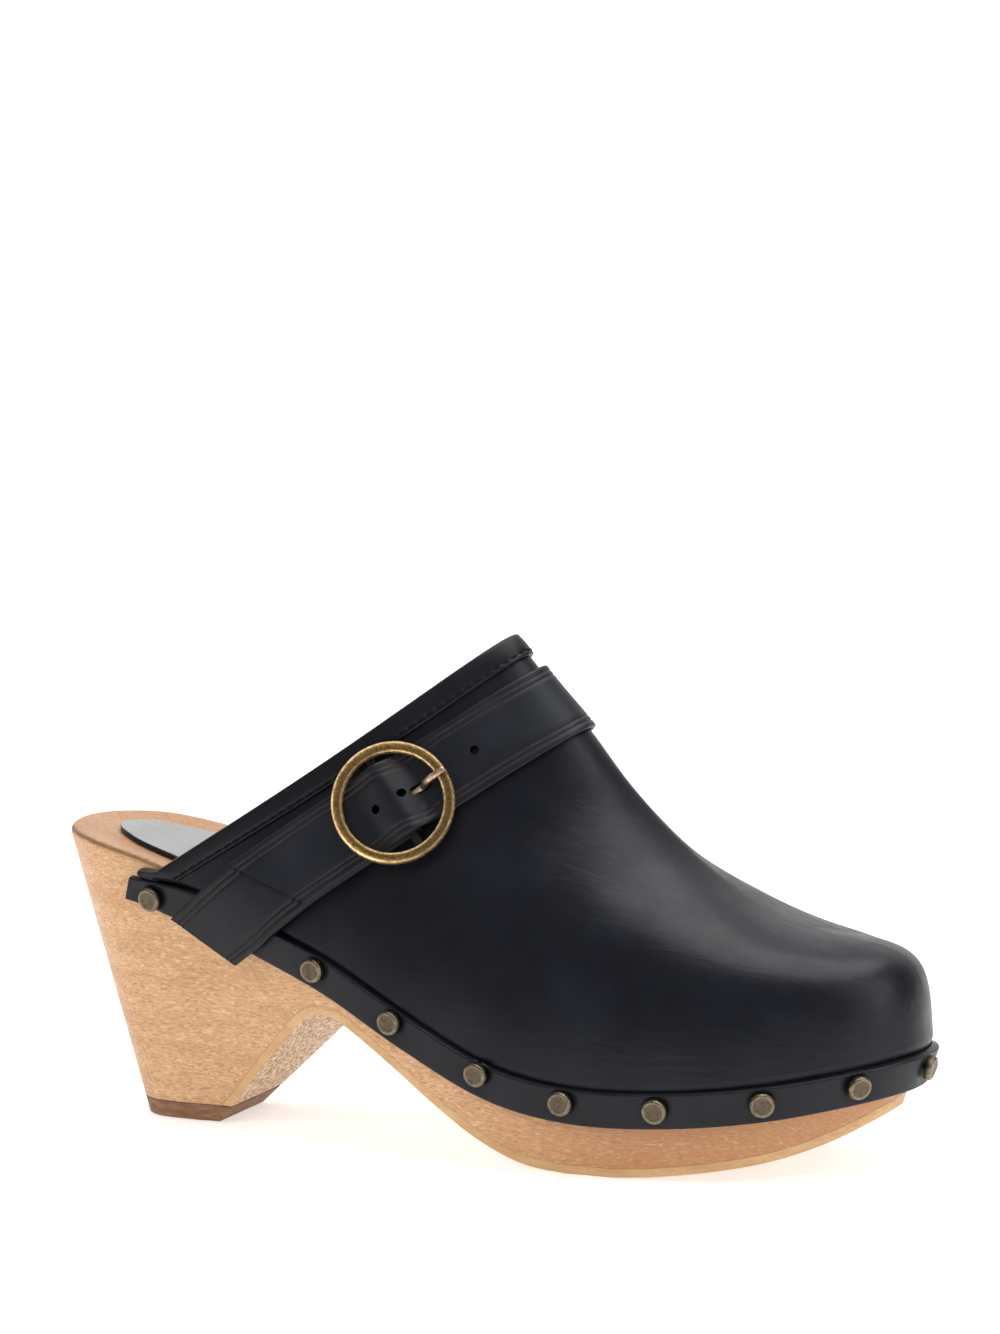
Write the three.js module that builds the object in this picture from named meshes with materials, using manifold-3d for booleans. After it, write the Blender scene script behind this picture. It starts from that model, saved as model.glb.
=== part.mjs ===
// Women's wooden clog, right foot: beech sole with a block heel, nailed leather upper, buckled strap.
// Drafting frame, millimetres: X from the heel back to the toe, Y towards the inner side of the foot,
// Z up from the ground. The finished group is moved so its footprint is centred on the origin.
import * as THREE from 'three';
import Module from 'manifold-3d';

const wasm = await Module();
wasm.setup();

// ---------------------------------------------------------------- driving dimensions
const GAP = 0.3;                 // clearance left between parts that touch
const VAMP = 1.5;                // upper leather
const LINING = 0.8;
const PUFF = 0.8;                // toe stiffener between upper and lining
const UPPER_OUT = 2.0;           // outer face of the upper, outside the wood's edge
const RAND = { height: 9.2, thick: 2.0, out: 4.3 };
const NAIL = { head: 3.15, proud: 1.7, bevel: 0.55, shank: 0.7, length: 7.0 };
const OUTSOLE = 2.3;
const HEEL_TIP = 4.5;
const BINDING = { width: 6.0, thick: 0.9 };
const STRAP = { width: 20, thick: 1.4, offset: 21.2, tailTip: -38.6, tailSlant: 32 };
const CHAPE = { thick: 1.2, slot: 4.8 };
const BUCKLE = {
  outer: 15.8, inner: 12.9, across: -0.9, thick: 2.6, bar: 1.1, tilt: 8.5, lift: 5.5, barLift: 2.95,
};
const PRONG = { width: 1.8, thick: 1.5, loop: 2.35 };
const SOCK = { rear: 11.5, front: 90, half: 18.3, thick: 1.2 };

// Sole outline, heel back to toe tip: x, outer y, inner y, height of the footbed edge.
const TOP_EDGE = [
  [-1.5, 0, 0, 77.0], [2.5, -15, 14, 76.6], [14, -25.5, 24, 75.2], [32, -29.5, 28, 71.5],
  [50, -30.3, 28.5, 65.8], [70, -31, 29, 58.3], [88, -32.5, 30, 50.8], [110, -35, 33, 39.3],
  [133, -37, 38, 28.8], [155, -37.5, 41.5, 24.8], [178, -36, 41.5, 25.3], [200, -30.5, 37.5, 27.8],
  [218, -20, 29, 31.0], [229, -8, 17.5, 33.2], [232.5, 4, 4, 33.8]];
// The same outline where the side walls reach the ground: x, outer y, inner y.
const GROUND_EDGE = [
  [21.5, 0, 0], [22.3, -9, 8], [28, -14.5, 11.5], [38, -15.5, 11.5],
  [48, -15.5, 11.5], [66, -21, 18], [86, -28, 24.5], [108, -31.5, 29],
  [133, -33.5, 33.5], [155, -34, 37], [177, -32.5, 37], [197, -27, 32.5],
  [211.5, -16.5, 22.5], [220, -6.5, 13.5], [222.5, 3.5, 3.5]];
// Underside in side view, heel breast to toe: x, z.
const UNDERSIDE = [
  [73.5, 29.3], [78.5, 33.3], [84.5, 34.3], [91, 31.6], [103.5, 23.4], [116, 14.4], [128, 6.6], [140, 1.5],
  [152, 0], [158, 0], [164, 0], [176, 1.0], [190, 3.0], [203, 5.6], [214, 9.2], [224, 14.2], [236, 21.5]];
const BREAST_FOOT = 46;          // where the heel's front face meets the ground
// Ribs of the upper, topline to toe: outline station, ridge x, side fullness, top fullness,
// how far the rib leaves the topline plane, forward sag.
const RIBS = [
  [3.3, 122.5, .40, .42, 0, 3], [4, 131, .40, .44, 0, 2.5], [5, 144, .42, .46, 0, 1.5],
  [6, 154, .45, .48, .1, .5], [7, 163, .49, .52, .25, 0], [8, 172, .53, .55, .45, 0],
  [9, 180.5, .60, .62, .65, 0], [10, 188.5, .68, .71, .8, 0], [11, 196, .78, .81, .95, 0],
  [12, 202, .87, .88, 1, 0], [13, 206.5, .93, .92, 1, 0], [14, 208.5, .95, .93, 1, 0]];
const LAST_RIB = RIBS.length - 1;
// Ridge line of the upper in side view: x, z.
const RIDGE = [
  [114, 138.5], [124, 129.3], [134, 117.8], [144, 107], [154, 95], [164, 84.5], [174, 75.6], [184, 68.4],
  [194, 63], [204, 60], [214, 58.5]];
const TOE_STATION = TOP_EDGE.length - 1;
const LOOP = 2 * TOE_STATION;    // outline parameter for one full turn

// ---------------------------------------------------------------- small maths
const V = (x, y, z) => new THREE.Vector3(x, y, z);
const mix = (a, b, t) => a + (b - a) * t;
const clamp = (t, a, b) => Math.min(Math.max(t, a), b);
const range = (a, b, step) => Array.from(
  { length: Math.floor((b - a) / step + 1e-6) + 1 }, (_, i) => a + i * step);
const smooth = (t) => { const c = clamp(t, 0, 1); return c * c * (3 - 2 * c); };
const bezier = (a, b, c, d, t) => {
  const u = 1 - t;
  return a * u ** 3 + 3 * b * u * u * t + 3 * c * u * t * t + d * t ** 3;
};

// Catmull-Rom curve through table rows. A mirrored table continues round the heel and the toe
// with its outer and inner columns exchanged.
function spline(rows, t, mirrored = false) {
  const n = rows.length - 1;
  const row = (i) => {
    if (i >= 0 && i <= n) return rows[i];
    if (!mirrored) return i < 0 ? rows[0].map((a, k) => 2 * a - rows[1][k])
      : rows[n].map((a, k) => 2 * a - rows[n - 1][k]);
    const r = rows[i < 0 ? -i : 2 * n - i].slice();
    [r[1], r[2]] = [r[2], r[1]];
    return r;
  };
  const i = clamp(Math.floor(t), 0, n - 1);
  const f = t - i;
  const [a, b, c, d] = [row(i - 1), row(i), row(i + 1), row(i + 2)];
  return b.map((_, k) => 0.5 * (2 * b[k] + (c[k] - a[k]) * f
    + (2 * a[k] - 5 * b[k] + 4 * c[k] - d[k]) * f * f + (3 * b[k] - a[k] - 3 * c[k] + d[k]) * f ** 3));
}

// ---------------------------------------------------------------- sole outline and side wall
// w runs 0..14 along the outer side from heel back to toe tip and 14..28 back along the inner side.
function outline(w) {
  const t = ((w % LOOP) + LOOP) % LOOP;
  const outer = t <= TOE_STATION;
  const tau = outer ? t : LOOP - t;
  const [x, yo, yi, z] = spline(TOP_EDGE, tau, true);
  const [gx, go, gi] = spline(GROUND_EDGE, tau, true);
  return { top: V(x, outer ? yo : yi, z), ground: V(gx, outer ? go : gi, 0) };
}
// A point on the side wall, drop mm below the footbed edge and out mm outside the wood.
function wallFrame(w) {
  const { top, ground } = outline(w);
  const down = ground.clone().sub(top).normalize();
  const along = outline(w + 0.02).top.sub(outline(w - 0.02).top).normalize();
  return { top, down, out: down.clone().cross(along).normalize() };
}
function wall(w, drop, out) {
  const f = wallFrame(w);
  return f.top.clone().addScaledVector(f.down, drop).addScaledVector(f.out, out);
}
// The rand ends behind the instep at outline station REAR on each side. randDrop is the drop of its
// upper edge below the footbed edge. It narrows towards its rear ends, which are cut leaning back:
// randShare is its share of the full height, randStation the outline station at a depth below its edge.
const REAR = 2.86;
const sideStation = (w) => (w <= TOE_STATION ? w : LOOP - w);
const randDrop = (w) => {
  const tau = sideStation(w);
  return 1.0 + 3.8 * (1 - smooth((tau - 2.6) / 1.5)) + 1.0 * smooth((tau - 9) / 4);
};
const randShare = (w) => 1 - 0.24 * (1 - smooth((sideStation(w) - REAR) / 0.9));
const randStation = (w, depth) => {
  const back = 0.016 * depth * (1 - smooth((sideStation(w) - REAR) / 0.8));
  return w <= TOE_STATION ? w - back : w + back;
};

// ---------------------------------------------------------------- surface of the upper
const ridgeZ = (x) => spline(RIDGE, (x - RIDGE[0][0]) / 10)[1];
const ridgeSlope = (x) => (ridgeZ(x + 1) - ridgeZ(x - 1)) / 2;
const ridgeY = (x) => 1 + 3 * smooth((x - 122) / 86);
const SKIRT = 10;                // length of one unit of q below the footbed edge

// s counts ribs from the topline to the toe. q is -1 at the outer footbed edge, 0 on the ridge,
// +1 at the inner edge; beyond 1 it runs down the side wall.
function upper(s0, q0) {
  const [s, q] = s0 > LAST_RIB ? [2 * LAST_RIB - s0, -q0] : [s0, q0];
  const [tau, xr, side, top, leave, sag] = spline(RIBS, s);
  const drop = Math.max(0, Math.abs(q) - 1) * SKIRT;
  const wing = 0.42 * smooth(drop / 3) * clamp(1 - s, 0, 1.5);
  const w = q <= 0 ? tau - wing : LOOP - tau + wing;
  if (drop > 0) return wall(w, drop, UPPER_OUT);
  const edge = wall(w, 0, UPPER_OUT);
  const v = 1 - Math.abs(q);
  const c = bezier(1, 1 - 0.05 * leave, top, 0, v);
  const h = bezier(0, side, 1, 1, v);
  const x = xr + (edge.x - xr) * ((1 - leave) * (1 - h) + leave * c) + sag * Math.sin(Math.PI * h);
  const y = ridgeY(xr) + (edge.y - ridgeY(xr)) * c;
  const z = edge.z + (ridgeZ(xr) + ridgeSlope(xr) * (x - xr) * leave - edge.z) * h;
  return V(x, y, z);
}
function upperNormal(s, q) {
  const ds = upper(s + 0.02, q).sub(upper(s - 0.02, q));
  const dq = upper(s, q + 0.01).sub(upper(s, q - 0.01));
  const n = ds.cross(dq);
  if (n.length() < 1e-7) return V(-ridgeSlope(208), 0, 1).normalize();
  n.normalize();
  return s > LAST_RIB ? n.negate() : n;
}
const offUpper = (s, q, out) => upper(s, q).addScaledVector(upperNormal(s, q), out);

// ---------------------------------------------------------------- bodies
function geometry(points, faces) {
  const index = [];
  const ids = new Map();
  const position = [];
  const id = points.map((p) => {
    const key = [p.x, p.y, p.z].map((a) => Math.round(a * 2000)).join();
    if (!ids.has(key)) { ids.set(key, ids.size); position.push(p.x, p.y, p.z); }
    return ids.get(key);
  });
  for (const [a, b, c] of faces) {
    const f = [id[a], id[b], id[c]];
    if (f[0] !== f[1] && f[1] !== f[2] && f[2] !== f[0]) index.push(...f);
  }
  const g = new THREE.BufferGeometry();
  g.setAttribute('position', new THREE.Float32BufferAttribute(position, 3));
  g.setIndex(index);
  return g;
}
const toManifold = (g) => new wasm.Manifold(new wasm.Mesh({
  numProp: 3, vertProperties: Float32Array.from(g.attributes.position.array),
  triVerts: Uint32Array.from(g.index.array) }));
function fromManifold(m) {
  const { numProp, vertProperties: vp, triVerts } = m.getMesh();
  const g = new THREE.BufferGeometry();
  const position = [];
  for (let i = 0; i < vp.length; i += numProp) position.push(vp[i], vp[i + 1], vp[i + 2]);
  g.setAttribute('position', new THREE.Float32BufferAttribute(position, 3));
  g.setIndex(Array.from(triVerts));
  return g;
}
const join = (...gs) => fromManifold(gs.map(toManifold).reduce((a, b) => a.add(b)));
const cut = (g, ...tools) => fromManifold(
  tools.map(toManifold).reduce((a, b) => a.subtract(b), toManifold(g)));
const common = (a, b) => fromManifold(toManifold(a).intersect(toManifold(b)));

// A closed section carried through stations: place(section point, station) gives the 3-D point.
// A ribbon section lists one face and then the other backwards, and its ends close rung by rung.
function sweep(outlinePoints, stations, place, ribbon = false) {
  const flat = outlinePoints.map(([x, y]) => new THREE.Vector2(x, y));
  const section = THREE.ShapeUtils.isClockWise(flat) ? outlinePoints.slice().reverse() : outlinePoints;
  const n = section.length;
  const points = stations.flatMap((s) => section.map((p) => place(p, s)));
  const faces = [];
  for (let k = 0; k + 1 < stations.length; k++) {
    for (let i = 0; i < n; i++) {
      const [a, b] = [k * n + i, k * n + (i + 1) % n];
      faces.push([a, b, b + n], [a, b + n, a + n]);
    }
  }
  const rungs = range(0, n / 2 - 2, 1).flatMap((i) => [[i, i + 1, n - 2 - i], [i, n - 2 - i, n - 1 - i]]);
  const caps = ribbon ? rungs
    : THREE.ShapeUtils.triangulateShape(section.map(([x, y]) => new THREE.Vector2(x, y)), []);
  const last = (stations.length - 1) * n;
  for (const [a, b, c] of caps) faces.push([c, b, a], [last + a, last + b, last + c]);
  return outward(geometry(points, faces));
}
// Turns a closed body the right way round when it was described inside out.
function outward(g) {
  const p = g.attributes.position;
  const ix = g.index.array;
  let volume = 0;
  const at = (i) => V(p.getX(i), p.getY(i), p.getZ(i));
  for (let i = 0; i < ix.length; i += 3) volume += at(ix[i]).dot(at(ix[i + 1]).cross(at(ix[i + 2])));
  if (volume < 0) for (let i = 0; i < ix.length; i += 3) [ix[i], ix[i + 1]] = [ix[i + 1], ix[i]];
  return g;
}
// A skin with thickness over a grid; walls names the grid edges that are closed with a rim.
function skin(us, vs, outer, inner, walls) {
  const [nu, nv] = [us.length, vs.length];
  const points = [outer, inner].flatMap((f) => us.flatMap((u) => vs.map((v) => f(u, v))));
  const id = (side, i, j) => side * nu * nv + i * nv + j;
  const faces = [];
  const quad = (a, b, c, d) => faces.push([a, b, c], [a, c, d]);
  for (let i = 0; i + 1 < nu; i++) {
    for (let j = 0; j + 1 < nv; j++) {
      quad(id(0, i, j), id(0, i + 1, j), id(0, i + 1, j + 1), id(0, i, j + 1));
      quad(id(1, i, j), id(1, i, j + 1), id(1, i + 1, j + 1), id(1, i + 1, j));
    }
  }
  const rim = (p, q) => quad(id(0, ...q), id(0, ...p), id(1, ...p), id(1, ...q));
  for (let i = 0; i + 1 < nu; i++) {
    if (walls.includes('v0')) rim([i, 0], [i + 1, 0]);
    if (walls.includes('v1')) rim([i + 1, nv - 1], [i, nv - 1]);
  }
  for (let j = 0; j + 1 < nv; j++) {
    if (walls.includes('u0')) rim([0, j + 1], [0, j]);
    if (walls.includes('u1')) rim([nu - 1, j], [nu - 1, j + 1]);
  }
  return outward(geometry(points, faces));
}
// Round body turned about an axis: profile of [radius, height] pairs from axis to axis.
function turned(profile, segments, origin, axis) {
  const g = new THREE.LatheGeometry(profile.map(([r, h]) => new THREE.Vector2(r, h)), segments);
  g.applyQuaternion(new THREE.Quaternion().setFromUnitVectors(V(0, 1, 0), axis.clone().normalize()));
  g.translate(origin.x, origin.y, origin.z);
  const p = g.attributes.position;
  const points = Array.from({ length: p.count }, (_, i) => V(p.getX(i), p.getY(i), p.getZ(i)));
  const ix = Array.from(g.index.array);
  const faces = [];
  for (let i = 0; i < ix.length; i += 3) faces.push([ix[i], ix[i + 1], ix[i + 2]]);
  return outward(geometry(points, faces));
}

// ---------------------------------------------------------------- wooden sole, outsole, heel tip
const outerStations = [...range(0, 0.75, 0.25), ...range(1, 10.5, 0.5), ...range(11, 14, 0.25)];
const loopStations = [...outerStations, ...outerStations.slice(1, -1).reverse().map((t) => LOOP - t)];

// Rings of the wood: depth below the footbed edge and inset from it; the heel is slightly dished.
const woodRings = [[-1, 0], [2.2, 0], [0.7, 0.6], [0, 2.2], [1.9, 10]];
function woodBlock() {
  const n = loopStations.length;
  const points = woodRings.flatMap(([drop, inset]) => loopStations.map((w) => {
    const f = wallFrame(w);
    if (drop < 0) return f.top.clone().addScaledVector(f.down, (f.top.z + 8) / -f.down.z);
    const inward = V(-f.out.x, -f.out.y, 0).normalize();
    const p = f.top.clone().addScaledVector(f.down, inset ? 0 : drop).addScaledVector(inward, inset);
    if (inset) p.z -= drop;
    return p;
  }));
  const faces = [];
  for (let k = 0; k + 1 < woodRings.length; k++) {
    for (let i = 0; i < n; i++) {
      const [a, b] = [k * n + i, k * n + (i + 1) % n];
      faces.push([a, b, b + n], [a, b + n, a + n]);
    }
  }
  for (const [base, flip] of [[0, true], [(woodRings.length - 1) * n, false]]) {
    for (let i = 0; i < n / 2; i++) {
      const [a, b, c, d] = [i, i + 1, n - i - 1, (n - i) % n].map((k) => base + k);
      faces.push(...(flip ? [[c, b, a], [d, c, a]] : [[a, b, c], [a, c, d]]));
    }
  }
  return outward(geometry(points, faces));
}

// Side-view line of the underside from the heel breast to the toe, raised by a thickness.
const breastAngle = Math.atan2(UNDERSIDE[0][1], UNDERSIDE[0][0] - BREAST_FOOT);
const undersidePoints = range(0, UNDERSIDE.length - 1, 0.5).map((t) => spline(UNDERSIDE, t))
  .map(([x, z]) => [x, Math.max(0, z)]);
function underside(raise, startZ) {
  const line = [[BREAST_FOOT, 0], ...undersidePoints];
  const lifted = line.map((p, i) => {
    const a = line[Math.max(0, i - 1)];
    const b = line[Math.min(line.length - 1, i + 1)];
    const length = Math.hypot(b[0] - a[0], b[1] - a[1]);
    return [p[0] - raise * (b[1] - a[1]) / length, p[1] + raise * (b[0] - a[0]) / length];
  });
  const slope = 1 / Math.tan(breastAngle);
  lifted[0] = [lifted[1][0] - (lifted[1][1] - startZ) * slope, startZ];
  return lifted;
}
const prism = (section) => sweep(section, [-60, 60], ([x, z], y) => V(x, y, z));
const tipSlope = HEEL_TIP / Math.tan(breastAngle);
const woodFloor = underside(OUTSOLE + GAP, HEEL_TIP + GAP);
const block = woodBlock();
const heelTip = common(block, prism(
  [[-20, 0], [BREAST_FOOT, 0], [BREAST_FOOT + tipSlope, HEEL_TIP], [-20, HEEL_TIP]]));
const outsole = common(block, prism(
  [...underside(0, HEEL_TIP + GAP), ...underside(OUTSOLE, HEEL_TIP + GAP).reverse()]));
const woodSide = common(block, prism([...woodFloor, [245, 95], [-20, 95], [-20, HEEL_TIP + GAP]]));

// ---------------------------------------------------------------- nails
// Hand-driven nails, eight along each side: [outline station, height above the rand's middle line].
const NAIL_STATIONS = [[3.2, 0], [5.8, 0.6], [6.86, 0.9], [7.92, 1.7], [8.94, 0.9], [9.98, 0.5], [11.12, 0.5],
  [12.3, 0.9]];
const TOE_NAIL = [13.9, 0.8];
const nailAt = (w, lift) => {
  const seat = wall(w, randDrop(w) + RAND.height / 2 - lift, RAND.out + GAP);
  return { seat, axis: wallFrame(w).out };
};
const nailSites = [['nail_toe', nailAt(...TOE_NAIL)]];
NAIL_STATIONS.forEach(([tau, lift], i) => {
  nailSites.push([`nail_outer_${i + 1}`, nailAt(tau, lift)]);
  nailSites.push([`nail_inner_${i + 1}`, nailAt(LOOP - tau, lift)]);
});
const nailProfile = [
  [0, -NAIL.length], [NAIL.shank, -NAIL.length], [NAIL.shank, 0], [NAIL.head, 0],
  [NAIL.head, NAIL.proud - NAIL.bevel], [NAIL.head - NAIL.bevel, NAIL.proud], [0, NAIL.proud]];
const bore = (length) => [[0, -length - 1], [NAIL.shank + GAP, -length - 1], [NAIL.shank + GAP, 3], [0, 3]];
const nailBores = nailSites.map(([, { seat, axis }]) => turned(bore(NAIL.length), 6, seat, axis));

// Small round stud in the back of the heel.
const heelStud = { seat: wall(0, 10, GAP), axis: wallFrame(0).out };
const studBody = turned([[0, -6], [NAIL.shank, -6], [NAIL.shank, 0], [2.2, 0], [1.8, 0.9], [0, 1.3]],
  12, heelStud.seat, heelStud.axis);
const woodenSole = cut(woodSide, ...nailBores, turned(bore(6), 6, heelStud.seat, heelStud.axis));

// ---------------------------------------------------------------- rand
const randStations = [REAR, ...outerStations.filter((t) => t > REAR + 0.2)];
const aroundToe = (list) => [...list, ...list.slice(0, -1).reverse().map((t) => LOOP - t)];
const randStrip = cut(sweep(
  [[0, RAND.out - RAND.thick], [0, RAND.out - 0.3], [0.3, RAND.out], [RAND.height - 0.3, RAND.out],
    [RAND.height, RAND.out - 0.3], [RAND.height, RAND.out - RAND.thick]],
  aroundToe(randStations), ([d, out], w) => wall(randStation(w, d), randDrop(w) + d * randShare(w), out)),
  ...nailBores);

// ---------------------------------------------------------------- upper, toe puff, lining
const TOPLINE = 0.1;             // rib along which the leather is cut; the binding folds over it
const ribStations = [TOPLINE, 0.5, ...outerStations.filter((t) => t >= 4).map((t) => t - 3)];
// Columns run round the toe: c up to the last rib is the outer side, beyond it the inner side.
const columns = [...ribStations, ...ribStations.slice(0, -1).reverse().map((s) => 2 * LAST_RIB - s)];
const onColumn = (c, height, out) => (c <= LAST_RIB
  ? offUpper(c, height - 1, out) : offUpper(2 * LAST_RIB - c, 1 - height, out));
const ribOf = (c) => (c <= LAST_RIB ? c : 2 * LAST_RIB - c);
const SKIRT_SHORT = 0.7;         // how far the skirt stays above the rand's lower edge
const skirtDepth = (c) => {
  const tau = spline(RIBS, ribOf(c))[0];
  return (randDrop(tau) + RAND.height * randShare(tau - 0.4) - SKIRT_SHORT) / SKIRT;
};
const innerRows = [0.12, 0.27, 0.42, 0.56, 0.69, 0.8, 0.87, 0.94, 1];
const upperRows = [-1, -0.35, 0, ...innerRows];
const upperHeight = (c, r) => (r < 0 ? r * skirtDepth(c) : r);
const vampUpper = cut(skin(columns, upperRows,
  (c, r) => onColumn(c, upperHeight(c, r), 0),
  (c, r) => onColumn(c, upperHeight(c, r), -VAMP), ['u0', 'u1', 'v0']), ...nailBores);

const PUFF_START = 6.6;
const liningRows = [0.035, ...innerRows];
const liningOut = (c) => -(VAMP + GAP) - (PUFF + GAP) * smooth((ribOf(c) - 5.5) / 0.9);
const liningColumns = columns.filter((c) => ribOf(c) >= 0);
const lining = skin(liningColumns, liningRows,
  (c, r) => onColumn(c, r, liningOut(c)),
  (c, r) => onColumn(c, r, liningOut(c) - LINING), ['u0', 'u1', 'v0']);
const puffColumns = columns.filter((c) => ribOf(c) >= PUFF_START);
const toePuff = skin(puffColumns, liningRows,
  (c, r) => onColumn(c, r, -(VAMP + GAP)),
  (c, r) => onColumn(c, r, -(VAMP + GAP + PUFF)), ['u0', 'u1', 'v0']);

// ---------------------------------------------------------------- topline binding
// Section of the folded band: [distance in from the edge in ribs, offset from the upper's face].
const bindInner = -(VAMP + GAP + LINING + GAP);
const bindReach = 0.6;           // a rib about as far in as the band reaches
const bindRows = [...range(0.045, 0.165, 0.06), ...range(0.25, 0.93, 0.085), 1];
const bindStations = [...bindRows.map((r) => r - 1), ...bindRows.slice(0, -1).reverse().map((r) => 1 - r)];
const edgeDirection = (q) => upper(TOPLINE, q).sub(upper(TOPLINE + 0.1, q)).normalize();
const bindingPoint = ([a, out], q) => {
  const width = a * BINDING.width;
  if (a <= 0) return offUpper(TOPLINE, q, out).addScaledVector(edgeDirection(q), -width);
  const span = upper(TOPLINE, q).distanceTo(upper(bindReach, q));
  return offUpper(mix(TOPLINE, bindReach, width / span), q, out);
};
const lip = GAP / BINDING.width;
const fold = (GAP + BINDING.thick) / BINDING.width;
const topOut = GAP + BINDING.thick;
const topIn = bindInner - BINDING.thick;
const binding = sweep(
  [[1, GAP], [0.5, GAP], [-lip, GAP], [-lip, bindInner], [0.5, bindInner], [1, bindInner],
    [1, topIn], [0.5, topIn], [-fold * 0.55, topIn], [-fold, mix(topIn, topOut, 0.3)],
    [-fold, mix(topIn, topOut, 0.7)], [-fold * 0.55, topOut], [0.5, topOut], [1, topOut]],
  bindStations, bindingPoint);

// ---------------------------------------------------------------- strap path over the instep
const toplineFoot = upper(0, -1);
const toplineRise = V(-Math.sin(0.62), 0, Math.cos(0.62));
const planeDistance = (p) => -toplineRise.dot(p.clone().sub(toplineFoot));
// The strap bends a little forward as it comes down to the rand.
const strapBend = (q) => 1.2 * smooth((Math.abs(q) - 0.66) / 0.8);
function ribAt(distance, q) {
  let [a, b] = [-0.8, 4.5];
  for (let i = 0; i < 22; i++) {
    const m = (a + b) / 2;
    if (planeDistance(upper(m, q)) < distance) a = m; else b = m;
  }
  return (a + b) / 2;
}
const onPath = (q, shift) => [ribAt(STRAP.offset + shift + strapBend(q), q), q];
const STRAP_STATION = 4.6;       // outline station where the strap's middle comes down over the rand
const randEnd = 1 + (randDrop(STRAP_STATION) + RAND.height) / SKIRT;
const pathEnd = randEnd + 1;
const PATH_STEPS = 120;
const pathStep = 2 * pathEnd / PATH_STEPS;
const pathSteps = range(-pathEnd, pathEnd, pathStep);
const pathPoints = pathSteps.map((q) => upper(...onPath(q, 0)));
const pathLength = pathPoints.reduce(
  (sum, p, i) => [...sum, i ? sum[i - 1] + p.distanceTo(pathPoints[i - 1]) : 0], []);
const BUCKLE_Q = -0.6;           // where the buckle's centre sits along the path
const lengthAt = (q) => {
  const t = clamp((q + pathEnd) / pathStep, 0, PATH_STEPS);
  const i = Math.min(Math.floor(t), PATH_STEPS - 1);
  return mix(pathLength[i], pathLength[i + 1], t - i);
};
const buckleLength = lengthAt(BUCKLE_Q);
const qAt = (along) => {
  const target = clamp(along + buckleLength, 0, pathLength[PATH_STEPS]);
  const i = clamp(pathLength.findIndex((l) => l >= target), 1, PATH_STEPS);
  const share = (target - pathLength[i - 1]) / (pathLength[i] - pathLength[i - 1]);
  return pathSteps[i - 1] + pathStep * share;
};
const outerEnd = lengthAt(-randEnd) - buckleLength;
const innerEnd = lengthAt(randEnd) - buckleLength;

// Point on the strap: along from the buckle centre, across towards the topline, height above the
// upper, and how much further out it goes where it passes over the rand.
function strapPoint(along, across, height, rise = 0) {
  const qc = qAt(along);
  const centre = upper(...onPath(qc, 0));
  const ahead = upper(...onPath(qc + 0.01, 0)).sub(upper(...onPath(qc - 0.01, 0))).normalize();
  let q = qc;
  for (let i = 0; i < 5; i++) {
    const p = upper(...onPath(q, -across));
    const step = upper(...onPath(q + 0.01, -across)).sub(p).dot(ahead) / 0.01;
    q -= p.sub(centre).dot(ahead) / step;
  }
  const rib = onPath(q, -across);
  const depth = (Math.abs(q) - 1) * SKIRT - randDrop(spline(RIBS, rib[0])[0]);
  return offUpper(...rib, height + rise * smooth((depth + 5.5) / 4));
}

// Frame of the buckle: its seat on the upper, the outward normal, ahead along the strap and across.
const seatPoint = strapPoint(0, BUCKLE.across, 0);
const seatNormal = upperNormal(...onPath(BUCKLE_Q, 0));
const seatAhead = strapPoint(1, 0, 0).sub(strapPoint(-1, 0, 0));
seatAhead.addScaledVector(seatNormal, -seatAhead.dot(seatNormal)).normalize();
const seatAcross = seatNormal.clone().cross(seatAhead);
// Local point of the buckle: ahead, across, height.
const local = (a, b, h) => seatPoint.clone().addScaledVector(seatAhead, a)
  .addScaledVector(seatAcross, b).addScaledVector(seatNormal, h);
// Beside the buckle the leather lies straight along and across the bar, further off it follows the upper.
function strapAt(along, across, height, rise) {
  const loose = smooth((Math.abs(along) - 6) / 6);
  return local(along, across - BUCKLE.across, height).lerp(strapPoint(along, across, height, rise), loose);
}

// Height of the strap's middle above the upper: over the rand at both ends, over the chape at the
// tail, over the buckle bar, then flat on the upper.
const rest = 0.55 + STRAP.thick / 2;
const through = (rows, x) => {
  if (x <= rows[0][0]) return rows[0][1];
  const i = rows.findIndex((r) => r[0] >= x);
  if (i < 0) return rows[rows.length - 1][1];
  const [a, b] = [rows[i - 1], rows[i]];
  return mix(a[1], b[1], smooth((x - a[0]) / (b[0] - a[0])));
};
const randTop = lengthAt(-(1 + randDrop(STRAP_STATION) / SKIRT)) - buckleLength;
const chapeTop = 2.45;
const tailHeight = chapeTop + CHAPE.thick / 2 + GAP + STRAP.thick / 2;
const crest = BUCKLE.barLift + BUCKLE.bar + GAP + CHAPE.thick + GAP + STRAP.thick / 2;
const strapHeights = [
  [-8.8, tailHeight], [0, crest], [8.8, 1.6], [16, rest]];
const holes = [-4.6, 3.2, 23.8];
const strapStations = [...range(STRAP.tailTip, -14, 4), ...range(-12, 12, 1.5), ...range(15, 27, 3),
  ...range(30, 78, 3), ...range(84, innerEnd - 14, 6), ...range(innerEnd - 12, innerEnd, 3)];
const strapSection = [
  ...strapStations.map((l) => [l, through(strapHeights, l) + STRAP.thick / 2]),
  ...strapStations.map((l) => [l, through(strapHeights, l) - STRAP.thick / 2]).reverse()];
const halfWidth = STRAP.width / 2;
// The tail is cut on the slant: its end stations slide with the distance across the strap.
const slant = (along, across) => along
  - across * Math.tan(THREE.MathUtils.degToRad(STRAP.tailSlant)) * smooth((-14 - along) / 20);
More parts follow.
